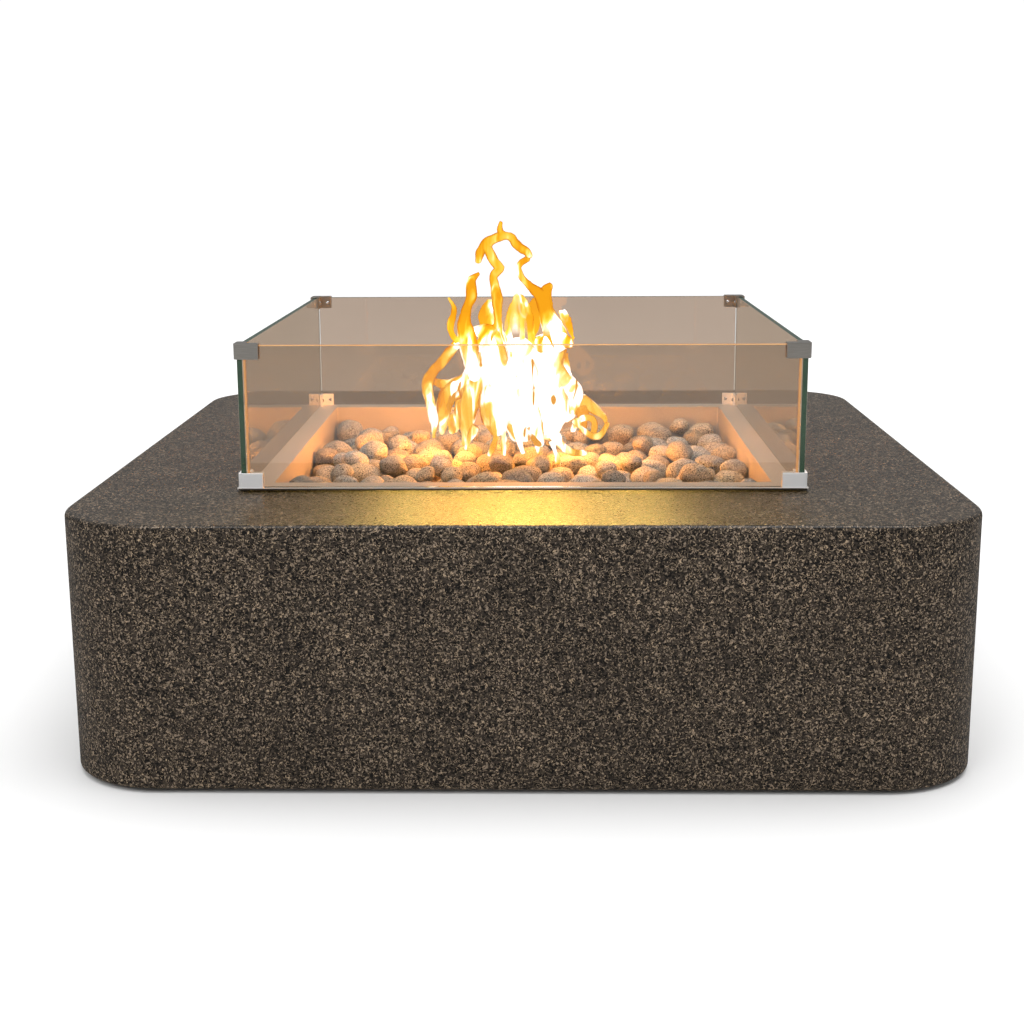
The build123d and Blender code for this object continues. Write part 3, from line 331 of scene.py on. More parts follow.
def cast_concrete(name, sheen, dull, polished):
    """Granite-look cast concrete: umber paste, grey grit and fine curled tan chips, sealed."""
    material, tree, shader, place = new_material(name, {"Specular IOR Level": sheen})
    chip_length = 3.0 * mm
    grit = 1.6 * mm
    cloud_width = 71.4 * mm
    stir = add(tree, "TexNoise", {"Vector": place, "Scale": 0.7 / chip_length, "Detail": 1.0})
    shift = add(tree, "VectorMath", {0: stir.outputs["Color"], "Scale": 1.6 * chip_length},
                operation="SCALE")
    stirred = add(tree, "VectorMath", {0: place, 1: shift}, operation="ADD")
    chips = add(tree, "TexNoise", {"Vector": stirred, "Scale": 1 / chip_length, "Detail": 0.0})
    ridge = add(tree, "Math", {0: chips, 1: 0.5}, operation="SUBTRACT")
    ridge = add(tree, "Math", {0: ridge}, operation="ABSOLUTE")
    ridge = add(tree, "MapRange", {"Value": ridge, "From": (0.034, 0.012)})
    breaks = add(tree, "TexNoise", {"Vector": place, "Scale": 1.2 / chip_length, "Detail": 1.0})
    breaks = add(tree, "MapRange", {"Value": breaks, "From": (0.48, 0.56)})
    chip = add(tree, "Math", {0: ridge, 1: breaks}, operation="MULTIPLY")
    grains = add(tree, "TexVoronoi", {"Vector": stirred, "Scale": 1 / grit})
    tone = add(tree, "SeparateColor", {0: grains.outputs["Color"]})
    dark = add(tree, "MapRange", {"Value": tone.outputs[0], "From": (0.25, 0.85)})
    paste = add(tree, "Mix", {0: dark, 6: "0b0907", 7: "41382f"})
    pale = add(tree, "MapRange", {"Value": tone.outputs[1], "From": (0.87, 0.93)})
    paste = add(tree, "Mix", {0: pale, 6: paste, 7: "857564"})
    cloud = add(tree, "TexNoise", {"Vector": place, "Scale": 1 / cloud_width, "Detail": 3.0})
    cloud = add(tree, "MapRange", {"Value": cloud, "From": (0.3, 0.7), "To": (0.82, 1.1)})
    colour = add(tree, "Mix", {0: chip, 6: paste, 7: "b39c80"})
    colour = add(tree, "VectorMath", {0: colour, "Scale": cloud}, operation="SCALE")
    gloss = add(tree, "MapRange", {"Value": tone.outputs[2], "To": (polished, dull)})
    relief = add(tree, "Math", {0: tone.outputs[0], 1: chip}, operation="ADD")
    bump = add(tree, "Bump", {"Height": relief, "Distance": 0.12 * mm, "Strength": 0.5})
    feed(shader, {"Base Color": colour, "Roughness": gloss, "Normal": bump})
    return material


# The walls are left as they leave the mould, satin with a faint grain. The top is ground smooth,
# so that it mirrors bright things softly.
table_body.data.materials.append(cast_concrete("moulded_granite_look_concrete", 0.2, 0.8, 0.55))
table_body.data.materials.append(cast_concrete("ground_granite_look_concrete", 0.38, 0.36, 0.24))
ground_from = shell_high.z - 5 * mm
for face in table_body.data.polygons:
    face.material_index = 1 if face.normal.z > 0.7 and face.center.z > ground_from else 0
finish(table_body, "table", "cast_stone", "enclosure_shell")

# --- Burner pan ---
# Folded from 2 mm stainless sheet and welded at its corners. A flat lip hangs it in the table
# top, and the gravel bed covers its floor.


def soften(piece, width, bevel_angle, smooth_angle):
    """Rounds the edges that turn more than the first angle, then shades the piece smooth."""
    turn = math.radians(bevel_angle)
    apply(piece, "BEVEL", width=width, segments=2, limit_method="ANGLE", angle_limit=turn)
    smooth(piece, smooth_angle)


lip_low, lip_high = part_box("burner_pan")
sheet = 2 * mm
pan_half = 265 * mm
pan_corner = 5 * mm
fold = 3 * mm
pan = block("pan", (middle.x - pan_half, middle.y - pan_half, lip_low.z + sheet),
            (middle.x + pan_half, middle.y + pan_half, lip_high.z))
round_edges(pan, upright_edge, pan_corner, 5)
pick(pan, "FACE", lambda f: f.normal.z > 0.9)
bpy.ops.mesh.delete(type="FACE")
round_edges(pan, below(lip_low.z + fold), fold, 3)
pick(pan, "EDGE", lambda e: e.is_boundary)
bpy.ops.mesh.extrude_edges_move()
lip_reach = (lip_high.x - lip_low.x) / 2
widen = lip_reach / pan_half
bpy.ops.transform.resize(value=(widen, widen, 1), center_override=(middle.x, middle.y, lip_high.z))
pick(pan, "FACE", every)
bpy.ops.mesh.normals_make_consistent(inside=True)
apply(pan, "SOLIDIFY", thickness=sheet, offset=-1.0, use_even_offset=True)
soften(pan, 0.7 * mm, 50, 40)

# Satin stainless sheet: brushed in one direction, a little straw-coloured from the heat, with
# long soft streaks in its mirror. Its sheared edges are darker and rougher.
satin_steel, tree, shader, place = new_material("brushed_stainless_sheet", {"Metallic": 0.28})
along = add(tree, "Mapping", {"Vector": place, "Scale": (8.0, 900.0, 300.0)})
brushing = add(tree, "TexNoise", {"Vector": along, "Scale": 1.0, "Detail": 3.0})
smudge = add(tree, "TexNoise", {"Vector": place, "Scale": 9.0, "Detail": 4.0})
tone = add(tree, "Mix", {0: smudge, 6: "c6c0ba", 7: "d8d2cc"})
gloss = add(tree, "MapRange", {"Value": brushing, "From": (0.25, 0.75), "To": (0.3, 0.46)})
bump = add(tree, "Bump", {"Height": brushing, "Distance": 0.05 * mm, "Strength": 0.35})
feed(shader, {"Base Color": tone, "Roughness": gloss, "Normal": bump})
sheared_steel = mottled("sheared_stainless_edge", {"Metallic": 1.0, "Roughness": 0.6}, 1.5 * mm, 2.0,
                        "55504b", "7a746e")
pan.data.materials.append(satin_steel)
pan.data.materials.append(sheared_steel)
lip_edge = lip_reach - 0.9 * mm
for face in pan.data.polygons:
    out = max(abs(face.center.x - middle.x), abs(face.center.y - middle.y))
    face.material_index = 1 if out > lip_edge and face.normal.z < 0.9 else 0
finish(pan, "table", "stainless", "burner_pan")

# --- Gravel bed ---
# Crushed lava, 3 to 8 mm, raked level over the burner tubes. It spreads the gas and carries the
# loose stones.
bed_low, bed_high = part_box("gravel_bed")
bpy.ops.mesh.primitive_grid_add(x_subdivisions=150, y_subdivisions=150, size=1)
gravel = bpy.context.object
gravel.name = "gravel"
gravel.scale = (bed_high.x - bed_low.x, bed_high.y - bed_low.y, 1)
gravel.location = ((bed_low.x + bed_high.x) / 2, (bed_low.y + bed_high.y) / 2, bed_high.z)
bpy.ops.object.transform_apply(location=True, rotation=True, scale=True)
lumps = bpy.data.textures.new("lumps", "VORONOI")
lumps.noise_scale = 9 * mm
apply(gravel, "DISPLACE", texture=lumps, texture_coords="GLOBAL", strength=-7 * mm, mid_level=0.2)
smooth(gravel, 60)

# Crushed lava: each lump its own brown-black, dull, rough with open pores.
crushed_lava, tree, shader, place = new_material("crushed_lava", {"Roughness": 0.95})
lump = add(tree, "TexVoronoi", {"Vector": place, "Scale": 1 / (6 * mm)})
tone = add(tree, "SeparateColor", {0: lump.outputs["Color"]})
colour = add(tree, "Mix", {0: tone, 6: "241e1b", 7: "57493f"})
pores = add(tree, "TexNoise", {"Vector": place, "Scale": 1 / (2 * mm), "Detail": 3.0})
bump = add(tree, "Bump", {"Height": pores, "Distance": 1.0 * mm, "Strength": 0.8})
feed(shader, {"Base Color": colour, "Normal": bump})
gravel.data.materials.append(crushed_lava)
finish(gravel, "table", "lava", "gravel_bed")

# --- Lava stones ---
# Loose tumbled lava pebbles, 27 to 46 mm, poured over the gravel. Tumbling has rounded them
# and left their gas pores as fine pits; no two are alike.


weld = 0.02 * mm  # corners of a node nearer than this are one


def seats_of(node):
    """Middle and half size of each separate solid of a node."""
    mesh = bmesh.new()
    mesh.from_mesh(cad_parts[node].data)
    bmesh.ops.remove_doubles(mesh, verts=mesh.verts, dist=weld)
    left = set(mesh.verts)
    seats = []
    while left:
        front = [left.pop()]
        found = []
        while front:
            vertex = front.pop()
            found.append(vertex.co.copy())
            for edge in vertex.link_edges:
                other = edge.other_vert(vertex)
                if other in left:
                    left.remove(other)
                    front.append(other)
        low = Vector([min(p[i] for p in found) for i in range(3)])
        high = Vector([max(p[i] for p in found) for i in range(3)])
        seats.append(((low + high) / 2, (high - low) / 2))
    mesh.free()
    return sorted(seats, key=lambda seat: (round(seat[0].x, 5), round(seat[0].y, 5)))


def join(pieces, name):
    """Joins pieces into one and names it."""
    deselect()
    for piece in pieces:
        piece.select_set(True)
    bpy.context.view_layer.objects.active = pieces[0]
    bpy.ops.object.join()
    pieces[0].name = name
    return pieces[0]


def copy_of(mesh, name):
    """A new piece with its own copy of a mesh."""
    piece = bpy.data.objects.new(name, mesh.copy())
    bpy.context.collection.objects.link(piece)
    return piece


def mother_stone(level, number):
    """A tumbled pebble of unit half width, uneven in its own way."""
    deselect()
    bpy.ops.mesh.primitive_ico_sphere_add(subdivisions=level, radius=1)
    stone = bpy.context.object
    for size, depth in ((1.9, 0.55), (0.8, 0.16), (0.35, 0.05)):
        swell = bpy.data.textures.new("swell", "CLOUDS")
        swell.noise_scale = size
        swell.noise_depth = 1
        own_place = Vector((number * 7.3, size * 11.0, number * 3.1))
        stone.location = own_place
        bpy.ops.object.transform_apply(location=True, rotation=False, scale=False)
        apply(stone, "DISPLACE", texture=swell, texture_coords="LOCAL", strength=depth, mid_level=0.5)
        stone.location = -own_place
        bpy.ops.object.transform_apply(location=True, rotation=False, scale=False)
    bpy.ops.object.shade_smooth()
    return stone


chance = random.Random(5)
seats = seats_of("lava_stones")
fine = [mother_stone(4, number) for number in range(6)]
plain = [mother_stone(3, number) for number in range(6)]
top_layer = bed_high.z + 18 * mm
stones = []
for seat, half in seats:
    mother = chance.choice(fine if seat.z > top_layer else plain)
    stone = copy_of(mother.data, "stone")
    long = half.x * chance.uniform(0.98, 1.14)
    short = half.x * chance.uniform(0.78, 0.96)
    spin = Matrix.Rotation(chance.uniform(0, math.tau), 4, "Z")
    lean = Matrix.Rotation(chance.gauss(0, 0.16), 4, "X") @ Matrix.Rotation(chance.gauss(0, 0.16), 4, "Y")
    size = Matrix.Diagonal((long, short, half.z * chance.uniform(0.92, 1.06), 1))
    stone.data.transform(Matrix.Translation(seat) @ spin @ lean @ size)
    tint = stone.data.color_attributes.new("stone_tint", "FLOAT_COLOR", "POINT")
    shade = (chance.random(), chance.random(), chance.random(), 1)
    for value in tint.data:
        value.color = shade
    stones.append(stone)
for mother in fine + plain:
    bpy.data.objects.remove(mother)
stones = join(stones, "tumbled_stones")

# Tumbled lava: blue-grey to tan from stone to stone, dull and dry, with pale mineral specks. Its pores are
# bumped in as hollows and painted dark, as painted shade in them.
lava_rock, tree, shader, place = new_material("tumbled_lava_rock", {"Roughness": 0.82})
tints = add(tree, "Attribute", attribute_name="stone_tint").outputs["Color"]
tint = add(tree, "SeparateColor", {0: tints})
kind = add(tree, "MapRange", {"Value": tint.outputs[0], "From": (0.35, 0.75)})
colour = add(tree, "Mix", {0: kind, 6: "96a0a8", 7: "c4b190"})
stain = add(tree, "TexNoise", {"Vector": place, "Scale": 1 / (24 * mm), "Detail": 4.0})
stain = add(tree, "MapRange", {"Value": stain, "From": (0.35, 0.7)})
colour = add(tree, "Mix", {0: stain, 6: colour, 7: "bab2a6"})
depth = add(tree, "MapRange", {"Value": tint.outputs[1], "To": (0.6, 1.25)})
colour = add(tree, "VectorMath", {0: colour, "Scale": depth}, operation="SCALE")
pore = add(tree, "TexVoronoi", {"Vector": place, "Scale": 1 / (2.2 * mm)})
pore_size = add(tree, "SeparateColor", {0: pore.outputs["Color"]})
reach = add(tree, "MapRange", {"Value": pore_size, "From": (0.3, 1.0), "To": (0.0, 0.46)})
pit = add(tree, "Math", {0: reach, 1: pore.outputs["Distance"]}, operation="SUBTRACT")
pit = add(tree, "MapRange", {"Value": pit, "From": (0.0, 0.12)})
specks = add(tree, "TexNoise", {"Vector": place, "Scale": 1 / (1.3 * mm), "Detail": 1.5})
speck = add(tree, "MapRange", {"Value": specks, "From": (0.36, 0.64), "To": (0.45, 1.5)})
colour = add(tree, "VectorMath", {0: colour, "Scale": speck}, operation="SCALE")
# Painted shade: the pores are darkened to near black.
colour = add(tree, "Mix", {0: pit, 6: colour, 7: "2a2522"})
hollows = add(tree, "Math", {0: specks, 1: pit}, operation="SUBTRACT")
bump = add(tree, "Bump", {"Height": hollows, "Distance": 0.8 * mm, "Strength": 0.8})
feed(shader, {"Base Color": colour, "Normal": bump})
stones.data.materials.clear()
stones.data.materials.append(lava_rock)
finish(stones, "table", "lava", "lava_stones")

# --- Glass panels ---
# Four panes of 6 mm tempered glass with ground and polished edges, held only by the clips.
# They look smoky grey-brown face on and dark green through their edges.


def pane_glass(name, painted_glow, thin, thick, aslant):
    """Tempered glass between two tints, darker aslant, with a painted pale glow of the given strength,
    clear to lamps.
    """
    glass, tree, shader, place = new_material(
        name,
        {"Roughness": 0.0, "IOR": 1.5, "Transmission Weight": 1.0,
         "Emission Color": "ffe5cd", "Emission Strength": painted_glow},
    )
    smear = add(tree, "TexNoise", {"Vector": place, "Scale": 7.0, "Detail": 3.0})
    tone = add(tree, "Mix", {0: smear, 6: thin, 7: thick})
    slant = add(tree, "LayerWeight", {"Blend": 0.5}).outputs["Facing"]
    slant = add(tree, "MapRange", {"Value": slant, "From": (0.4, 0.85)})
    tone = add(tree, "Mix", {0: slant, 6: tone, 7: aslant})
    feed(shader, {"Base Color": tone})
    lamp_ray = add(tree, "LightPath").outputs["Is Shadow Ray"]
    clear = add(tree, "BsdfTransparent", {"Color": "f2ece2"})
    pane = add(tree, "MixShader", {0: lamp_ray, 1: shader, 2: clear})
    feed(tree.nodes["Material Output"], {"Surface": pane})
    return glass


# Lit and shaded copies of one glass: the front pane is tinted lighter and has no glow, and the other three
# are tinted darker and carry a painted glow, both for the light the panes reflect.
front_glass_painted_lighter = pane_glass("tempered_glass_front_painted_lighter", 0.0, "d8cdbf", "e0d5c8", "8b8570")
glass_painted_darker_and_glowing = pane_glass("tempered_glass", 0.14, "7b6f66", "867a6f", "453f33")
# The polished edges show the glass's own dark green, clouded every 17 mm or so.
edge_cloud = 1 / 60
glass_edge = mottled(
    "polished_glass_edge",
    {"Roughness": 0.2, "IOR": 1.5, "Transmission Weight": 0.35, "Specular IOR Level": 0.15},
    edge_cloud, 2.0, "122a20", "264a3a")
# The front pane's edges, and a 2.2 mm band of its faces at each end, are painted pale amber with a painted
# glow and glint for the fire's light along them.
painted_glint_edge = mottled(
    "painted_fire_glint_glass_edge",
    {"Roughness": 0.15, "IOR": 1.5, "Transmission Weight": 0.4, "Specular IOR Level": 0.1,
     "Emission Color": "ffb063", "Emission Strength": 0.2},
    edge_cloud, 2.0, "b98a5c", "d8b080")

# The painted glint bands: how far in from the front pane's ends and down from its top they reach.
glint_band = 2.2 * mm
top_glint_band = 1.5 * mm
for side, across in (("left", 0), ("right", 0), ("front", 1), ("back", 1)):
    node = "glass_" + side
    pane_low, pane_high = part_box(node)
    panel = block("pane_" + side, pane_low, pane_high)
    round_edges(panel, every, 1.0 * mm, 2)
    if side == "front":
        for end in (pane_low.x + glint_band, pane_high.x - glint_band):
            pick(panel, "FACE", every)
            bpy.ops.mesh.bisect(plane_co=(end, 0, 0), plane_no=(1, 0, 0))
    smooth(panel, 50)
    for material in (front_glass_painted_lighter if side == "front" else glass_painted_darker_and_glowing, glass_edge, painted_glint_edge):
        panel.data.materials.append(material)
    for face in panel.data.polygons:
        face.material_index = 0 if abs(face.normal[across]) > 0.9 else 1
        if side == "front":
            at_end = min(face.center.x - pane_low.x, pane_high.x - face.center.x) < glint_band
            if at_end or face.center.z > pane_high.z - top_glint_band:
                face.material_index = 2
    finish(panel, "wind_guard", "glass", node)

# --- Corner clips ---
# Eight satin stainless clips, milled with two slots each for the panes; the bottom four stand
# on the pan's lip and carry the glass, and the top four cap its corners.
clip_sheet = 3 * mm
clip_floor = 2 * mm
clip_cap = 1.5 * mm
slot_width = 6.3 * mm

# Stainless bar brushed round each clip, in two painted copies for how light falls on them: the caps above
# are painted darker as shade, and the feet below are painted brighter as light.
brushed = (120.0, 120.0, 1600.0)
clip_steels_painted_lit_and_shaded = {
    "bottom": mottled("brushed_stainless_painted_bright", {"Metallic": 0.1}, brushed, 2.0, "f0f1f2", "fafafa",
                      (0.4, 0.6)),
    "top": mottled("brushed_stainless_painted_shaded", {"Metallic": 0.75}, brushed, 2.0, "85817b", "9e9a94",
                   (0.25, 0.42)),
}
corners = (("back_right", 1, 1), ("front_right", 1, -1), ("back_left", -1, 1), ("front_left", -1, -1))
for level in ("bottom", "top"):
    for corner, sx, sy in corners:
        node = level + "_clip_" + corner
        low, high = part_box(node)
        clip = block("clip_" + level + "_" + corner, low, high)
        sign = Vector((sx, sy, 0))
        outer = Vector((high.x if sx > 0 else low.x, high.y if sy > 0 else low.y, 0))
        round_edges(clip, lambda e: upright_edge(e) and all(
            abs(v.co.x - outer.x) < mm and abs(v.co.y - outer.y) < mm for v in e.verts), 5 * mm, 6)
        for axis, other in ((0, 1), (1, 0)):
            near = outer - sign * clip_sheet
            far = near.copy()
            far[axis] = near[axis] - sign[axis] * slot_width
            far[other] = outer[other] - sign[other] * cutter_depth
            near.z = low.z + clip_floor if level == "bottom" else low.z - clip_floor
            far.z = high.z + clip_cap if level == "bottom" else high.z - clip_cap
            cut(clip, block("slot", near, far))
        pocket = outer - sign * (2 * clip_sheet + slot_width)
        inner = outer - sign * cutter_depth
        pocket.z = low.z - clip_floor
        inner.z = high.z + clip_floor
        cut(clip, block("pocket", pocket, inner))
        soften(clip, 0.6 * mm, 40, 40)
        clip.data.materials.append(clip_steels_painted_lit_and_shaded[level])
        finish(clip, "wind_guard", "clip_steel", node)

# --- Screws ---
# Chromed button-head screws with a hexagon socket. They hold the plates on the walls, and
# inside the clips they pinch the glass.


def screw(head_radius, head_height, shank_radius, length):
    """A button-head screw along +Z, with the underside of its head at the origin."""
    deselect()
    bpy.ops.mesh.primitive_cylinder_add(vertices=24, radius=head_radius, depth=head_height,
                                        location=(0, 0, head_height / 2))
    piece = bpy.context.object
    bpy.ops.object.transform_apply(location=True, rotation=True, scale=True)
    round_edges(piece, above(0.9 * head_height), 0.55 * head_height, 3)
    bpy.ops.mesh.primitive_cylinder_add(vertices=6, radius=0.46 * head_radius, depth=1.2 * head_height,
                                        location=(0, 0, head_height))
    cut(piece, bpy.context.object)
    bpy.ops.mesh.primitive_cylinder_add(vertices=12, radius=shank_radius, depth=length,
                                        location=(0, 0, -length / 2 + 0.1 * mm))
    join([piece, bpy.context.object], "screw")
    smooth(piece, 35)
    return piece


def set_screws(name, mother, places):
    """Copies of one screw, each turned to point along its direction, as one piece."""
    copies = []
    for place, direction in places:
        copy = copy_of(mother.data, name)
        turn = Vector(direction).to_track_quat("Z", "Y").to_matrix().to_4x4()
        copy.data.transform(Matrix.Translation(place) @ turn)
        copies.append(copy)
    bpy.data.objects.remove(mother)
    return join(copies, name)


plate_head = 2.7 * mm
places = []
for seat, half in seats_of("fixing_screws"):
    direction = Vector((0, 1, 0)) if half.y > half.x else Vector((math.copysign(1, seat.x), 0, 0))
    places.append((seat + direction * (max(half.x, half.y) - plate_head), direction))
plate_screws = set_screws("plate_screws", screw(4.5 * mm, plate_head, 2.4 * mm, 20 * mm), places)

# Polished nickel-chrome: near mirror, cool, with faint wiping haze.
chrome = mottled("polished_chrome", {"Metallic": 1.0}, 9 * mm, 3.0, "c3c5c8", "dcdee0", (0.06, 0.2))
plate_screws.data.materials.append(chrome)
finish(plate_screws, "table", "chrome", "fixing_screws")

clip_head = 2.0 * mm
places = []
for seat, half in seats_of("clip_screws"):
    axis = 0 if half.x > half.y else 1
    inwards = Vector((0, 0, 0))
    inwards[axis] = -math.copysign(1, seat[axis] - middle[axis])
    places.append((seat + inwards * (half[axis] - clip_head), inwards))
clip_screws = set_screws("glass_clamp_screws", screw(2.6 * mm, clip_head, 1.4 * mm, 2 * mm), places)
clip_screws.data.materials.append(chrome)
finish(clip_screws, "wind_guard", "chrome", "clip_screws")

# --- Control panel ---
# A 2.5 mm stainless plate screwed over the hole in the back wall, brushed along its length. The
# knob's range is printed on it as a ring of bars that grow with the flame.


def softened(node, name, width):
    """A copy of a node with its triangles merged and its sharp edges slightly rounded."""
    piece = copy_of(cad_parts[node].data, name)
    piece.data.materials.clear()
    pick(piece, "FACE", every)
    bpy.ops.mesh.remove_doubles(threshold=weld)
    bpy.ops.mesh.dissolve_limited(angle_limit=math.radians(1))
    soften(piece, width, 35, 35)
    return piece


def dress(node, name, width, material, body, slot):
    """A softened copy of a node in its real finish, fixed to its body."""
    piece = softened(node, name, width)
    piece.data.materials.append(material)
    finish(piece, body, slot, node)


dress("control_panel", "control_plate", 0.4 * mm, satin_steel, "table", "stainless")

bezel_low, bezel_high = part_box("knob_bezel")
dial = (bezel_low + bezel_high) / 2
panel_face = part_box("control_panel")[1].y
knob_turn = math.radians(210)
bar_count = 11
bar_half = 0.5 * mm
bar_foot = 28 * mm
bars = []
for number in range(bar_count):
    share = number / (bar_count - 1)
    bar_tip = bar_foot + (1.6 + 3.2 * share) * mm
    bar = block("bar", (-bar_half, panel_face - 0.1 * mm, bar_foot),
                (bar_half, panel_face + 0.06 * mm, bar_tip))
    bar.data.transform(Matrix.Translation((dial.x, 0, dial.z)) @ Matrix.Rotation(knob_turn * share, 4, "Y"))
    bars.append(bar)
marks = join(bars, "dial_marks")

# Baked screen ink: dead black, slightly raised, with a fine mesh grain.
ink = mottled("baked_screen_ink", {"Roughness": 0.6}, 0.4 * mm, 2.0, "101010", "1f1f1f")
marks.data.materials.append(ink)
finish(marks, "table", "black_plastic")

# --- Control knob ---
# Moulded black knob with finger flutes and a white pointer, pushed on the valve's spindle over
# a chromed brass bezel.
knob = softened("control_knob", "fluted_knob", 0.35 * mm)

# Glass-filled nylon: deep black, satin, with a fine spark-eroded grain.
nylon = mottled("spark_grained_nylon", {"IOR": 1.5}, 0.6 * mm, 2.0, "131313", "222222",
                (0.36, 0.52), (0.08 * mm, 0.5))
# White enamel wiped into the pointer groove, a little uneven.
enamel = mottled("white_filling_enamel", {"Roughness": 0.35}, 1.5 * mm, 2.0, "e2e0da", "f4f3ef")
knob.data.materials.append(nylon)
knob.data.materials.append(enamel)
groove_half = 1.2 * mm
groove_start = dial.z + 6 * mm
groove_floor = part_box("control_knob")[1].y - 0.2 * mm
for face in knob.data.polygons:
    in_groove = abs(face.center.x - dial.x) < groove_half and face.center.z > groove_start
    face.material_index = 1 if in_groove and face.center.y < groove_floor and face.normal.y > 0.9 else 0
finish(knob, "knob", "black_plastic", "control_knob")


def coat(material, *nodes):
    """Gives nodes whose shape stays as it is their real finish."""
    for node in nodes:
        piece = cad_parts[node]
        piece.data.materials.clear()
        piece.data.materials.append(material)


coat(chrome, "knob_bezel")

# --- Gas valve ---
# Die-cast aluminium valve behind the plate, with a sliding brass plunger and a steel spindle.
# The supply enters below, and the burner and pilot lines leave at the back.

# Die-cast aluminium: pale matt grey, faintly mottled where it was shot-blasted.
casting = mottled("blasted_die_cast_aluminium", {"Metallic": 1.0}, 0.8 * mm, 3.0, "8f9193", "b6b8ba",
                  (0.45, 0.65), (0.1 * mm, 0.6))
dress("gas_valve", "valve_casting", 0.8 * mm, casting, "table", "valve_alloy")

# --- Brass fittings ---
# Turned from bar: the bulkhead inlet with its male flare for the supply hose, the gas orifice
# in the mixer's mouth, and the valve's plunger.

# Machined brass: warm yellow, bright on the tool's fine rings, a little dulled by handling.
brass = mottled("machined_brass", {"Metallic": 1.0}, 6 * mm, 3.0, "a8823f", "d3ac61", (0.2, 0.4))
tree = brass.node_tree
place = add(tree, "TexCoord").outputs["Object"]
turned = add(tree, "Mapping", {"Vector": place, "Scale": (60.0, 2500.0, 60.0)})
rings = add(tree, "TexNoise", {"Vector": turned, "Scale": 1.0, "Detail": 1.0})
bump = add(tree, "Bump", {"Height": rings, "Distance": 0.04 * mm, "Strength": 0.5})
feed(tree.nodes["Principled BSDF"], {"Normal": bump})
dress("inlet_fitting", "flare_inlet", 0.3 * mm, brass, "table", "brass")
coat(brass, "gas_orifice", "valve_plunger")

# --- Spark igniter ---
# Push-button piezo igniter: a nylon barrel held by its nut behind the plate, and a chromed
# button that snaps back.
dress("igniter_body", "igniter_barrel", 0.3 * mm, nylon, "table", "black_plastic")
coat(chrome, "igniter_button")

# --- Access door ---
# Pressed steel door with five louvres in a screwed steel frame, both powder-coated black. It
# hangs on two loose-pin hinges and is held shut by two magnets.

# Polyester powder coat: charcoal black with the fine leathery texture that hides scratches.
powder_coat = mottled("fine_texture_powder_coat", {"IOR": 1.5}, 1.1 * mm, 3.0, "1b1c1d", "2b2c2d",
                      (0.42, 0.62), (0.15 * mm, 0.6))
dress("access_door", "louvred_door", 0.5 * mm, powder_coat, "door", "black_metal")
dress("door_frame", "door_surround", 0.5 * mm, powder_coat, "table", "black_metal")
dress("door_pull", "bar_pull", 0.8 * mm, chrome, "door", "chrome")

# --- Hinges, nuts and feet ---
# Zinc-plated steel: hinge leaves with rolled knuckles on headed pins, corner gussets that carry
# the levelling feet, and the lock nuts.

# Bright zinc plate: bluish grey with faint yellow bloom, softly glossy over the steel's grain.
zinc = mottled("bright_zinc_plate", {"Metallic": 1.0}, 12 * mm, 4.0, "9a9fa3", "b5b3a6", (0.26, 0.46))
tree = zinc.node_tree
place = add(tree, "TexCoord").outputs["Object"]
steel_grain = add(tree, "TexNoise", {"Vector": place, "Scale": 1 / (1.0 * mm), "Detail": 2.0})
bump = add(tree, "Bump", {"Height": steel_grain, "Distance": 0.04 * mm, "Strength": 0.4})
feed(tree.nodes["Principled BSDF"], {"Normal": bump})
dress("hinge_frame_leaves", "frame_hinge_leaves", 0.3 * mm, zinc, "table", "zinc_steel")
dress("hinge_door_leaves", "door_hinge_leaves", 0.3 * mm, zinc, "door", "zinc_steel")
coat(zinc, "hinge_pins", "bulkhead_nuts", "corner_plates", "foot_lock_nuts", "pan_lock_nut", "air_mixer",
     "air_shutter", "valve_spindle", "levelling_foot_fl", "levelling_foot_fr", "levelling_foot_bl",
     "levelling_foot_br")

# --- Side vents ---
# Louvred steel plates that let air in to the burner and gas out, screwed over the holes in the
# two side walls and powder-coated like the door.
for side in ("left", "right"):
    dress("vent_grille_" + side, "vent_louvres_" + side, 0.4 * mm, powder_coat, "table", "black_metal")

# --- Heat shield ---
# Folded galvanised sheet under the top, round the pan, with air between them, so that the
# concrete stays cool.

# Hot-dip galvanised sheet: crystals a centimetre across, each with its own grey and gloss.
galvanised, tree, shader, place = new_material("hot_dip_galvanised_sheet", {"Metallic": 1.0})
crystals = add(tree, "TexVoronoi", {"Vector": place, "Scale": 1 / (11 * mm)})
tone = add(tree, "SeparateColor", {0: crystals.outputs["Color"]})
colour = add(tree, "Mix", {0: tone.outputs[0], 6: "8d9194", 7: "b2b6b8"})
gloss = add(tree, "MapRange", {"Value": tone.outputs[1], "To": (0.34, 0.6)})
feed(shader, {"Base Color": colour, "Roughness": gloss})
dress("heat_shield", "folded_heat_shield", 0.5 * mm, galvanised, "table", "galvanised")

# --- Burner ---
# H-shaped stainless tube burner with ports along its sides, on four saddles welded to the pan,
# and the pilot's bracket and hood. The flame has tinted the steel straw, brown and blue.
stained_steel, tree, shader, place = new_material("heat_stained_stainless", {"Metallic": 1.0})
heat = add(tree, "TexNoise", {"Vector": place, "Scale": 1 / (40 * mm), "Detail": 3.0})
straw = add(tree, "MapRange", {"Value": heat, "From": (0.35, 0.5)})
blue = add(tree, "MapRange", {"Value": heat, "From": (0.52, 0.66)})
colour = add(tree, "Mix", {0: straw, 6: "8f8881", 7: "94714a"})
colour = add(tree, "Mix", {0: blue, 6: colour, 7: "545c74"})
soot = add(tree, "TexNoise", {"Vector": place, "Scale": 1 / (4 * mm), "Detail": 3.0})
gloss = add(tree, "MapRange", {"Value": soot, "To": (0.3, 0.6)})
feed(shader, {"Base Color": colour, "Roughness": gloss})
coat(stained_steel, "h_burner", "burner_supports", "pilot_bracket", "pilot_hood")

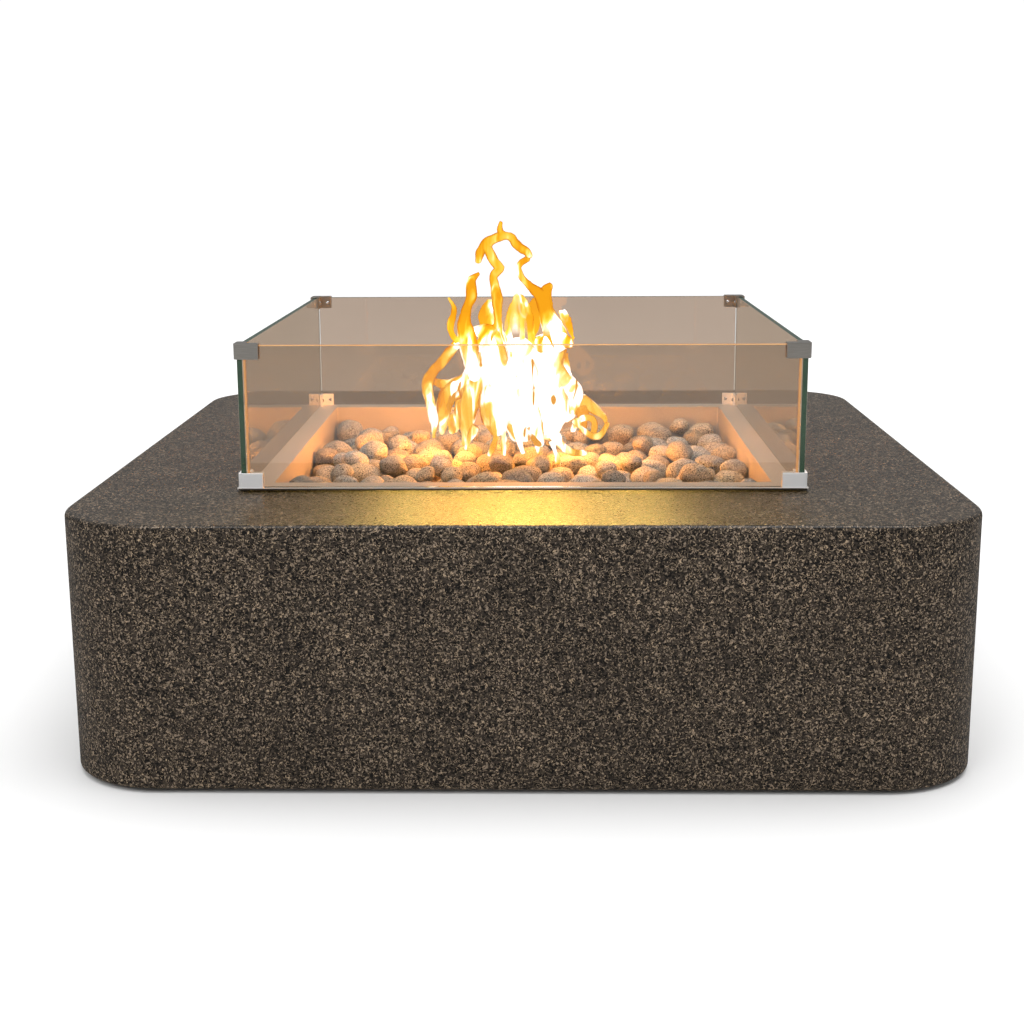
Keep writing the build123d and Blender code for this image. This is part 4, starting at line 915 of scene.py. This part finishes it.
# --- Burner elbow and magnets ---
# A malleable iron elbow under the pan, blackened and rough from its sand mould, and two ferrite
# magnets in the door frame.
black_iron = mottled("blackened_malleable_iron", {"Metallic": 0.6}, 1.2 * mm, 4.0, "1d1b1a", "3a3532",
                     (0.55, 0.8), (0.3 * mm, 0.7))
coat(black_iron, "burner_elbow", "door_magnets")

# --- Pilot electrode and lines ---
# Alumina-sleeved spark electrode with a red silicone wire, copper supply and pilot lines with
# the copper thermocouple and its lead, and a corrugated burner line in its yellow coat.

# Glazed alumina: glossy cream, faintly sooted.
alumina = mottled("glazed_alumina", {"Roughness": 0.18, "IOR": 1.6}, 5 * mm, 3.0, "cfc7b8", "ece7dc")
coat(alumina, "spark_electrode")

# Drawn copper tube: salmon, browned and duller in patches.
copper = mottled("drawn_copper_tube", {"Metallic": 1.0}, 8 * mm, 4.0, "8f5738", "cf8a66", (0.5, 0.26))
coat(copper, "supply_line", "pilot_line", "thermocouple", "thermocouple_lead")

# Polyethylene sleeve: strong yellow, waxy, dusty in patches.
sleeve = mottled("yellow_polyethylene_sleeve", {"Roughness": 0.42, "IOR": 1.5}, 7 * mm, 4.0,
                 "c9a21f", "e0bd3c")
coat(sleeve, "burner_line")

# Silicone rubber: brick red, matt, with talc bloom.
silicone = mottled("red_silicone_insulation", {"Roughness": 0.6}, 3 * mm, 3.0, "861d14", "ab3a2c")
coat(silicone, "ignition_wire")

# --- Flame ---
# Burning gas, which is not a piece of the table. Strands of it rise from the stones, join in a
# white-hot body and tear into golden tongues. Warm lamps inside it light the stones and the pan.

# Each strand is its distance back, then its points: across, height and half width, all in mm.
strands = (
    (0, ((-6, 271, 6.5), (-6, 290, 16.3), (-8, 312, 22.4), (-6, 337, 23.9), (-4, 363, 21.7),
         (-6, 381, 18.8), (-8, 395, 7.2))),
    (6, ((23, 275, 7.2), (30, 297, 17.3), (34, 319, 17.3), (30, 341, 13.0), (30, 363, 12.3),
         (37, 381, 13.0), (37, 399, 12.3), (30, 413, 9.4), (25, 428, 6.5), (23, 442, 7.2),
         (28, 456, 3.6), (32, 460, 1.1))),
    (-4, ((14, 388, 8.0), (37, 392, 12.3), (52, 392, 5.8), (56, 387, 1.8))),
    (-8, ((-32, 282, 7.2), (-35, 301, 14.5), (-37, 319, 15.9), (-35, 341, 13.0), (-35, 363, 13.0),
         (-38, 385, 13.7), (-45, 403, 13.0), (-53, 406, 7.2))),
    (-14, ((-60, 348, 4.3), (-62, 367, 6.5), (-66, 385, 8.7), (-69, 403, 8.7), (-72, 417, 5.1),
         (-69, 432, 3.6), (-63, 446, 4.7), (-64, 460, 4.0), (-63, 470, 3.3), (-53, 475, 1.1))),
    (-6, ((-62, 406, 4.3), (-45, 406, 6.5), (-31, 399, 7.2), (-26, 388, 7.2))),
    (4, ((-31, 396, 4.3), (-32, 414, 3.6), (-32, 431, 4.0), (-33, 446, 4.0), (-36, 460, 3.6),
         (-38, 471, 3.3), (-32, 476, 3.6), (-25, 480, 2.2), (-35, 485, 4.0), (-41, 499, 3.6),
         (-46, 506, 2.9))),
    (2, ((-56, 486, 1.1), (-55, 496, 2.5), (-48, 508, 3.6), (-37, 514, 4.3), (-25, 518, 4.7),
         (-16, 517, 3.6), (-13, 510, 3.6), (-4, 503, 3.3), (5, 499, 2.5), (5, 493, 1.8))),
    (3, ((-25, 518, 3.3), (-32, 525, 2.9), (-27, 535, 0.7))),
    (5, ((5, 492, 1.4), (-4, 487, 1.4), (-8, 481, 1.8), (-6, 472, 2.2), (2, 462, 3.3), (11, 454, 4.3),
         (19, 447, 5.1), (23, 435, 5.8))),
    (-20, ((-109, 279, 1.1), (-109, 297, 3.3), (-112, 319, 4.3), (-117, 338, 4.7), (-116, 349, 5.1),
         (-107, 361, 4.7), (-96, 374, 4.0), (-85, 387, 3.6), (-78, 397, 3.6))),
    (-18, ((-115, 349, 2.9), (-100, 342, 4.3), (-86, 341, 5.1), (-73, 347, 5.1), (-64, 359, 4.3),
         (-62, 374, 3.6))),
    (-10, ((-101, 280, 1.4), (-99, 301, 5.8), (-97, 319, 8.0), (-92, 334, 8.0), (-79, 337, 8.0))),
    (-12, ((-74, 267, 1.1), (-71, 286, 5.1), (-70, 304, 9.4), (-66, 326, 9.4), (-57, 345, 8.0),
         (-49, 363, 8.0))),
    (-6, ((-85, 282, 1.4), (-83, 297, 4.3), (-79, 315, 6.5), (-70, 334, 6.5))),
    (-16, ((-91, 447, 0.7), (-84, 438, 1.8), (-84, 426, 1.8), (-89, 416, 1.8), (-87, 403, 1.8),
         (-80, 394, 2.2))),
    (8, ((45, 297, 7.2), (56, 312, 9.4), (63, 326, 8.0), (52, 341, 7.2), (41, 355, 5.8), (36, 370, 5.8))),
    (12, ((100, 284, 1.1), (99, 297, 1.8), (90, 304, 3.6), (78, 313, 5.8), (67, 319, 7.2))),
    (10, ((81, 274, 1.1), (84, 284, 1.8), (85, 297, 1.8), (74, 301, 2.2), (61, 293, 2.9), (58, 282, 1.4))),
    (4, ((100, 295, 1.4), (96, 282, 1.8), (85, 276, 1.8), (70, 284, 1.8), (59, 297, 2.2))),
    (-20, ((-43, 258, 0.7), (-36, 275, 2.2), (-32, 293, 3.3))),
    (-24, ((-26, 255, 0.7), (-26, 275, 1.8), (-25, 293, 2.2))),
    (-26, ((-2, 262, 0.7), (-8, 278, 2.5), (-11, 297, 3.3))),
    (-22, ((16, 260, 0.7), (14, 275, 2.2), (13, 290, 3.3))),
    (-16, ((74, 260, 1.1), (61, 259, 2.2), (49, 265, 3.3), (38, 278, 4.3), (30, 293, 5.1))),
    (-28, ((41, 249, 0.7), (38, 262, 1.4), (32, 278, 2.9))),
    (-18, ((-72, 263, 0.7), (-67, 279, 2.9), (-59, 292, 3.6))),
    (45, ((1, 275, 5.1), (-3, 301, 15.9), (5, 334, 14.5), (1, 363, 9.4), (9, 388, 2.9))),
    (-42, ((19, 271, 2.9), (12, 297, 9.4), (5, 319, 8.7), (10, 341, 2.9))),
    (70, ((-14, 278, 2.2), (-17, 304, 10.8), (-10, 334, 8.0), (-13, 356, 2.2))),
)
membranes = (
    (10, ((-15, 381, 7.2), (-11, 399, 13.0), (-6, 421, 14.5), (-6, 439, 10.8), (-9, 448, 2.9))),
    (14, ((-42, 442, 2.9), (-45, 428, 9.4), (-45, 414, 10.8), (-42, 403, 7.2))),
    (8, ((12, 442, 2.9), (10, 424, 7.2), (9, 406, 9.0), (5, 392, 7.2))),
    (-12, ((-105, 297, 2.9), (-103, 319, 6.5), (-101, 338, 6.5))),
    (-2, ((-57, 319, 7.2), (-53, 341, 8.7), (-51, 363, 8.0), (-46, 381, 7.2))),
    (2, ((46, 428, 2.9), (52, 410, 4.3), (57, 395, 2.2))),
    (12, ((52, 341, 4.3), (47, 359, 5.1), (50, 377, 4.3))),
    (0, ((67, 282, 2.2), (74, 297, 5.8), (67, 312, 5.8))),
    (-8, ((-89, 282, 2.2), (-86, 301, 8.0), (-83, 319, 8.0))),
)


def gas_strand(depth, line, flatten):
    """A smooth strand of flame through the line's points, flattened from front to back."""
    curve = bpy.data.curves.new("strand", "CURVE")
    curve.dimensions = "3D"
    curve.bevel_depth = mm
    curve.bevel_resolution = 4
    curve.use_fill_caps = True
    curve.resolution_u = 8
    spline = curve.splines.new("NURBS")
    spline.points.add(len(line) - 1)
    for number, (point, (across, height, half_width)) in enumerate(zip(spline.points, line)):
        sway = 8 * math.sin(2.6 * number / len(line) + depth) / flatten
        point.co = (across * mm, sway * mm, height * mm, 1)
        point.radius = 1.15 * half_width + 1.4
    spline.order_u = 3
    spline.use_endpoint_u = True
    strand = bpy.data.objects.new("strand", curve)
    bpy.context.collection.objects.link(strand)
    choose(strand)
    bpy.ops.object.convert(target="MESH")
    strand = bpy.context.object
    set_back = Matrix.Translation((0, middle.y + depth * mm, 0))
    strand.data.transform(set_back @ Matrix.Diagonal((1, flatten, 1, 1)))
    return strand


def gas_body(name, lines, flatten, voxel, ripple, material):
    """All the strands grown into one skin and rippled."""
    gas = join([gas_strand(depth, line, flatten) for depth, line in lines], name)
    apply(gas, "REMESH", mode="VOXEL", voxel_size=voxel, use_smooth_shade=True)
    apply(gas, "SMOOTH", factor=0.5, iterations=3)
    for scale, strength in ((26 * mm, ripple), (9 * mm, ripple / 3)):
        licks = bpy.data.textures.new("licks", "CLOUDS")
        licks.noise_scale = scale
        apply(gas, "DISPLACE", texture=licks, texture_coords="GLOBAL", strength=strength, mid_level=0.5)
    gas.data.materials.clear()
    gas.data.materials.append(material)
    gas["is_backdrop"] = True


def gas_material(name, hottest, gap, body, within):
    """Glowing gas: white-hot low in its middle, golden outside, orange at its rims. Slits tear it
    and show what is within; the body is how dense the rest is."""
    material, tree, shader, place = new_material(name, {})
    tree.nodes.remove(shader)
    drawn = add(tree, "Mapping", {"Vector": place, "Scale": (48.0, 48.0, 15.0)})
    streaks = add(tree, "TexNoise", {"Vector": drawn, "Scale": 1.0, "Detail": 2.0, "Distortion": 0.8})
    centred = add(tree, "Mapping", {"Vector": place, "Location": (-0.12, 0.08, -2.85),
                                    "Scale": (8.0, 5.0, 8.8)})
    reach = add(tree, "VectorMath", {0: centred}, operation="LENGTH").outputs["Value"]
    heat = add(tree, "Math", {0: hottest, 1: reach}, operation="SUBTRACT")
    heat = add(tree, "Math", {0: heat, 1: 0.2}, operation="MAXIMUM")
    streak = add(tree, "MapRange", {"Value": streaks, "From": (0.35, 0.65), "To": (-0.5, 0.4)})
    heat = add(tree, "Math", {0: heat, 1: streak}, operation="ADD")
    colours = add(tree, "ValToRGB", {0: heat})
    stops = colours.color_ramp.elements
    for position, code in ((0.0, "e99c1a"), (0.15, "f5b62a"), (0.35, "fdd258"), (0.5, "ffecaa"),
                           (0.6, "ffffff")):
        stop = stops[0] if position == 0.0 else stops.new(position)
        stop.position = position
        stop.color = linear(code)
    stops.remove(stops[-1])
    facing = add(tree, "LayerWeight", {"Blend": 0.5}).outputs["Facing"]
    cooled = add(tree, "MapRange", {"Value": heat, "From": (0.75, 0.2), "To": (0.35, 1.0)})
    rim = add(tree, "MapRange", {"Value": facing, "From": (0.2, 0.75)})
    rim = add(tree, "Math", {0: rim, 1: cooled}, operation="MULTIPLY")
    colour = add(tree, "Mix", {0: rim, 6: colours, 7: "c46c10"})
    power = add(tree, "MapRange", {"Value": heat, "From": (0.35, 0.8), "To": (1.2, 2.4)})
    height = add(tree, "SeparateXYZ", {0: place}).outputs[2]
    upper = add(tree, "MapRange", {"Value": height, "From": (400 * mm, 430 * mm)})
    dimmer = add(tree, "MapRange", {"Value": upper, "To": (1.4, 1.0)})
    power = add(tree, "Math", {0: power, 1: dimmer}, operation="MULTIPLY")
    seen = add(tree, "Emission", {"Color": colour, "Strength": power})
    path = add(tree, "LightPath")
    mirrored = add(tree, "Math", {0: path.outputs["Glossy Depth"], 1: 0.5}, operation="GREATER_THAN")
    lit = add(tree, "Math", {0: path.outputs["Diffuse Depth"], 1: 0.5}, operation="GREATER_THAN")
    mirror = add(tree, "Emission", {"Color": "ffa63c", "Strength": 4.0})
    cast = add(tree, "Emission", {"Color": "ffb347", "Strength": 1.0})
    glow = add(tree, "MixShader", {0: mirrored, 1: seen, 2: mirror})
    glow = add(tree, "MixShader", {0: lit, 1: glow, 2: cast})
    flat = add(tree, "Mapping", {"Vector": place, "Scale": (58.0, 0.0, 19.0)})
    slits = add(tree, "TexNoise", {"Vector": flat, "Scale": 1.0, "Detail": 1.0, "Distortion": 1.2})
    solid = add(tree, "MapRange", {"Value": slits, "From": (gap, gap + 0.04)})
    solid = add(tree, "Math", {0: solid, 1: upper}, operation="MAXIMUM")
    solid = add(tree, "Math", {0: solid, 1: body}, operation="MULTIPLY")
    behind = add(tree, *within)
    glow = add(tree, "MixShader", {0: solid, 1: behind, 2: glow})
    feed(tree.nodes["Material Output"], {"Surface": glow})
    return material


deep_gold = ("Emission", {"Color": "eda526", "Strength": 1.4})
white_hot_gas = gas_material("white_hot_gas", 1.25, 0.31, 1.0, deep_gold)
golden_gas = gas_material("golden_gas", 0.8, 0.4, 0.85, ("BsdfTransparent",))
gas_body("flame_core", strands, 1.0, 1.3 * mm, 5 * mm, white_hot_gas)
gas_body("flame_veil", membranes, 0.3, 2.0 * mm, 8 * mm, golden_gas)

for across, height, watts in ((-90, 310, 6.5), (65, 305, 5.5), (0, 300, 3.5), (0, 345, 7.5), (0, 410, 5)):
    bpy.ops.object.light_add(type="POINT", location=(across * mm, middle.y, height * mm))
    lamp = bpy.context.object
    lamp.name = "flame_light"
    lamp.data.energy = watts
    lamp.data.shadow_soft_size = 40 * mm
    lamp.data.color = linear("ffa848")[:3]
    lamp.visible_camera = False
    lamp.visible_transmission = False
    lamp.visible_glossy = False

# The ground table top in front mirrors the whole fire as one broad yellow patch.
patch_place = (0, middle.y - 40 * mm, 360 * mm)
bpy.ops.object.light_add(type="AREA", location=patch_place, rotation=(-math.pi / 2, 0, 0))
patch = bpy.context.object
patch.name = "fire_mirrored"
patch.data.shape = "RECTANGLE"
patch.data.size = 230 * mm
patch.data.size_y = 180 * mm
patch.data.energy = 21
patch.data.use_shadow = False
patch.data.spread = math.radians(110)
patch.data.color = linear("ffcf62")[:3]
patch.visible_camera = False
patch.visible_transmission = False
patch.visible_diffuse = False
polished = bpy.data.collections.new("polished_stone")
polished.objects.link(table_body)
patch.light_linking.receiver_collection = polished

size = {"cad": [list(cad_low), list(cad_high)], "visual": [list(corner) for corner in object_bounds()]}
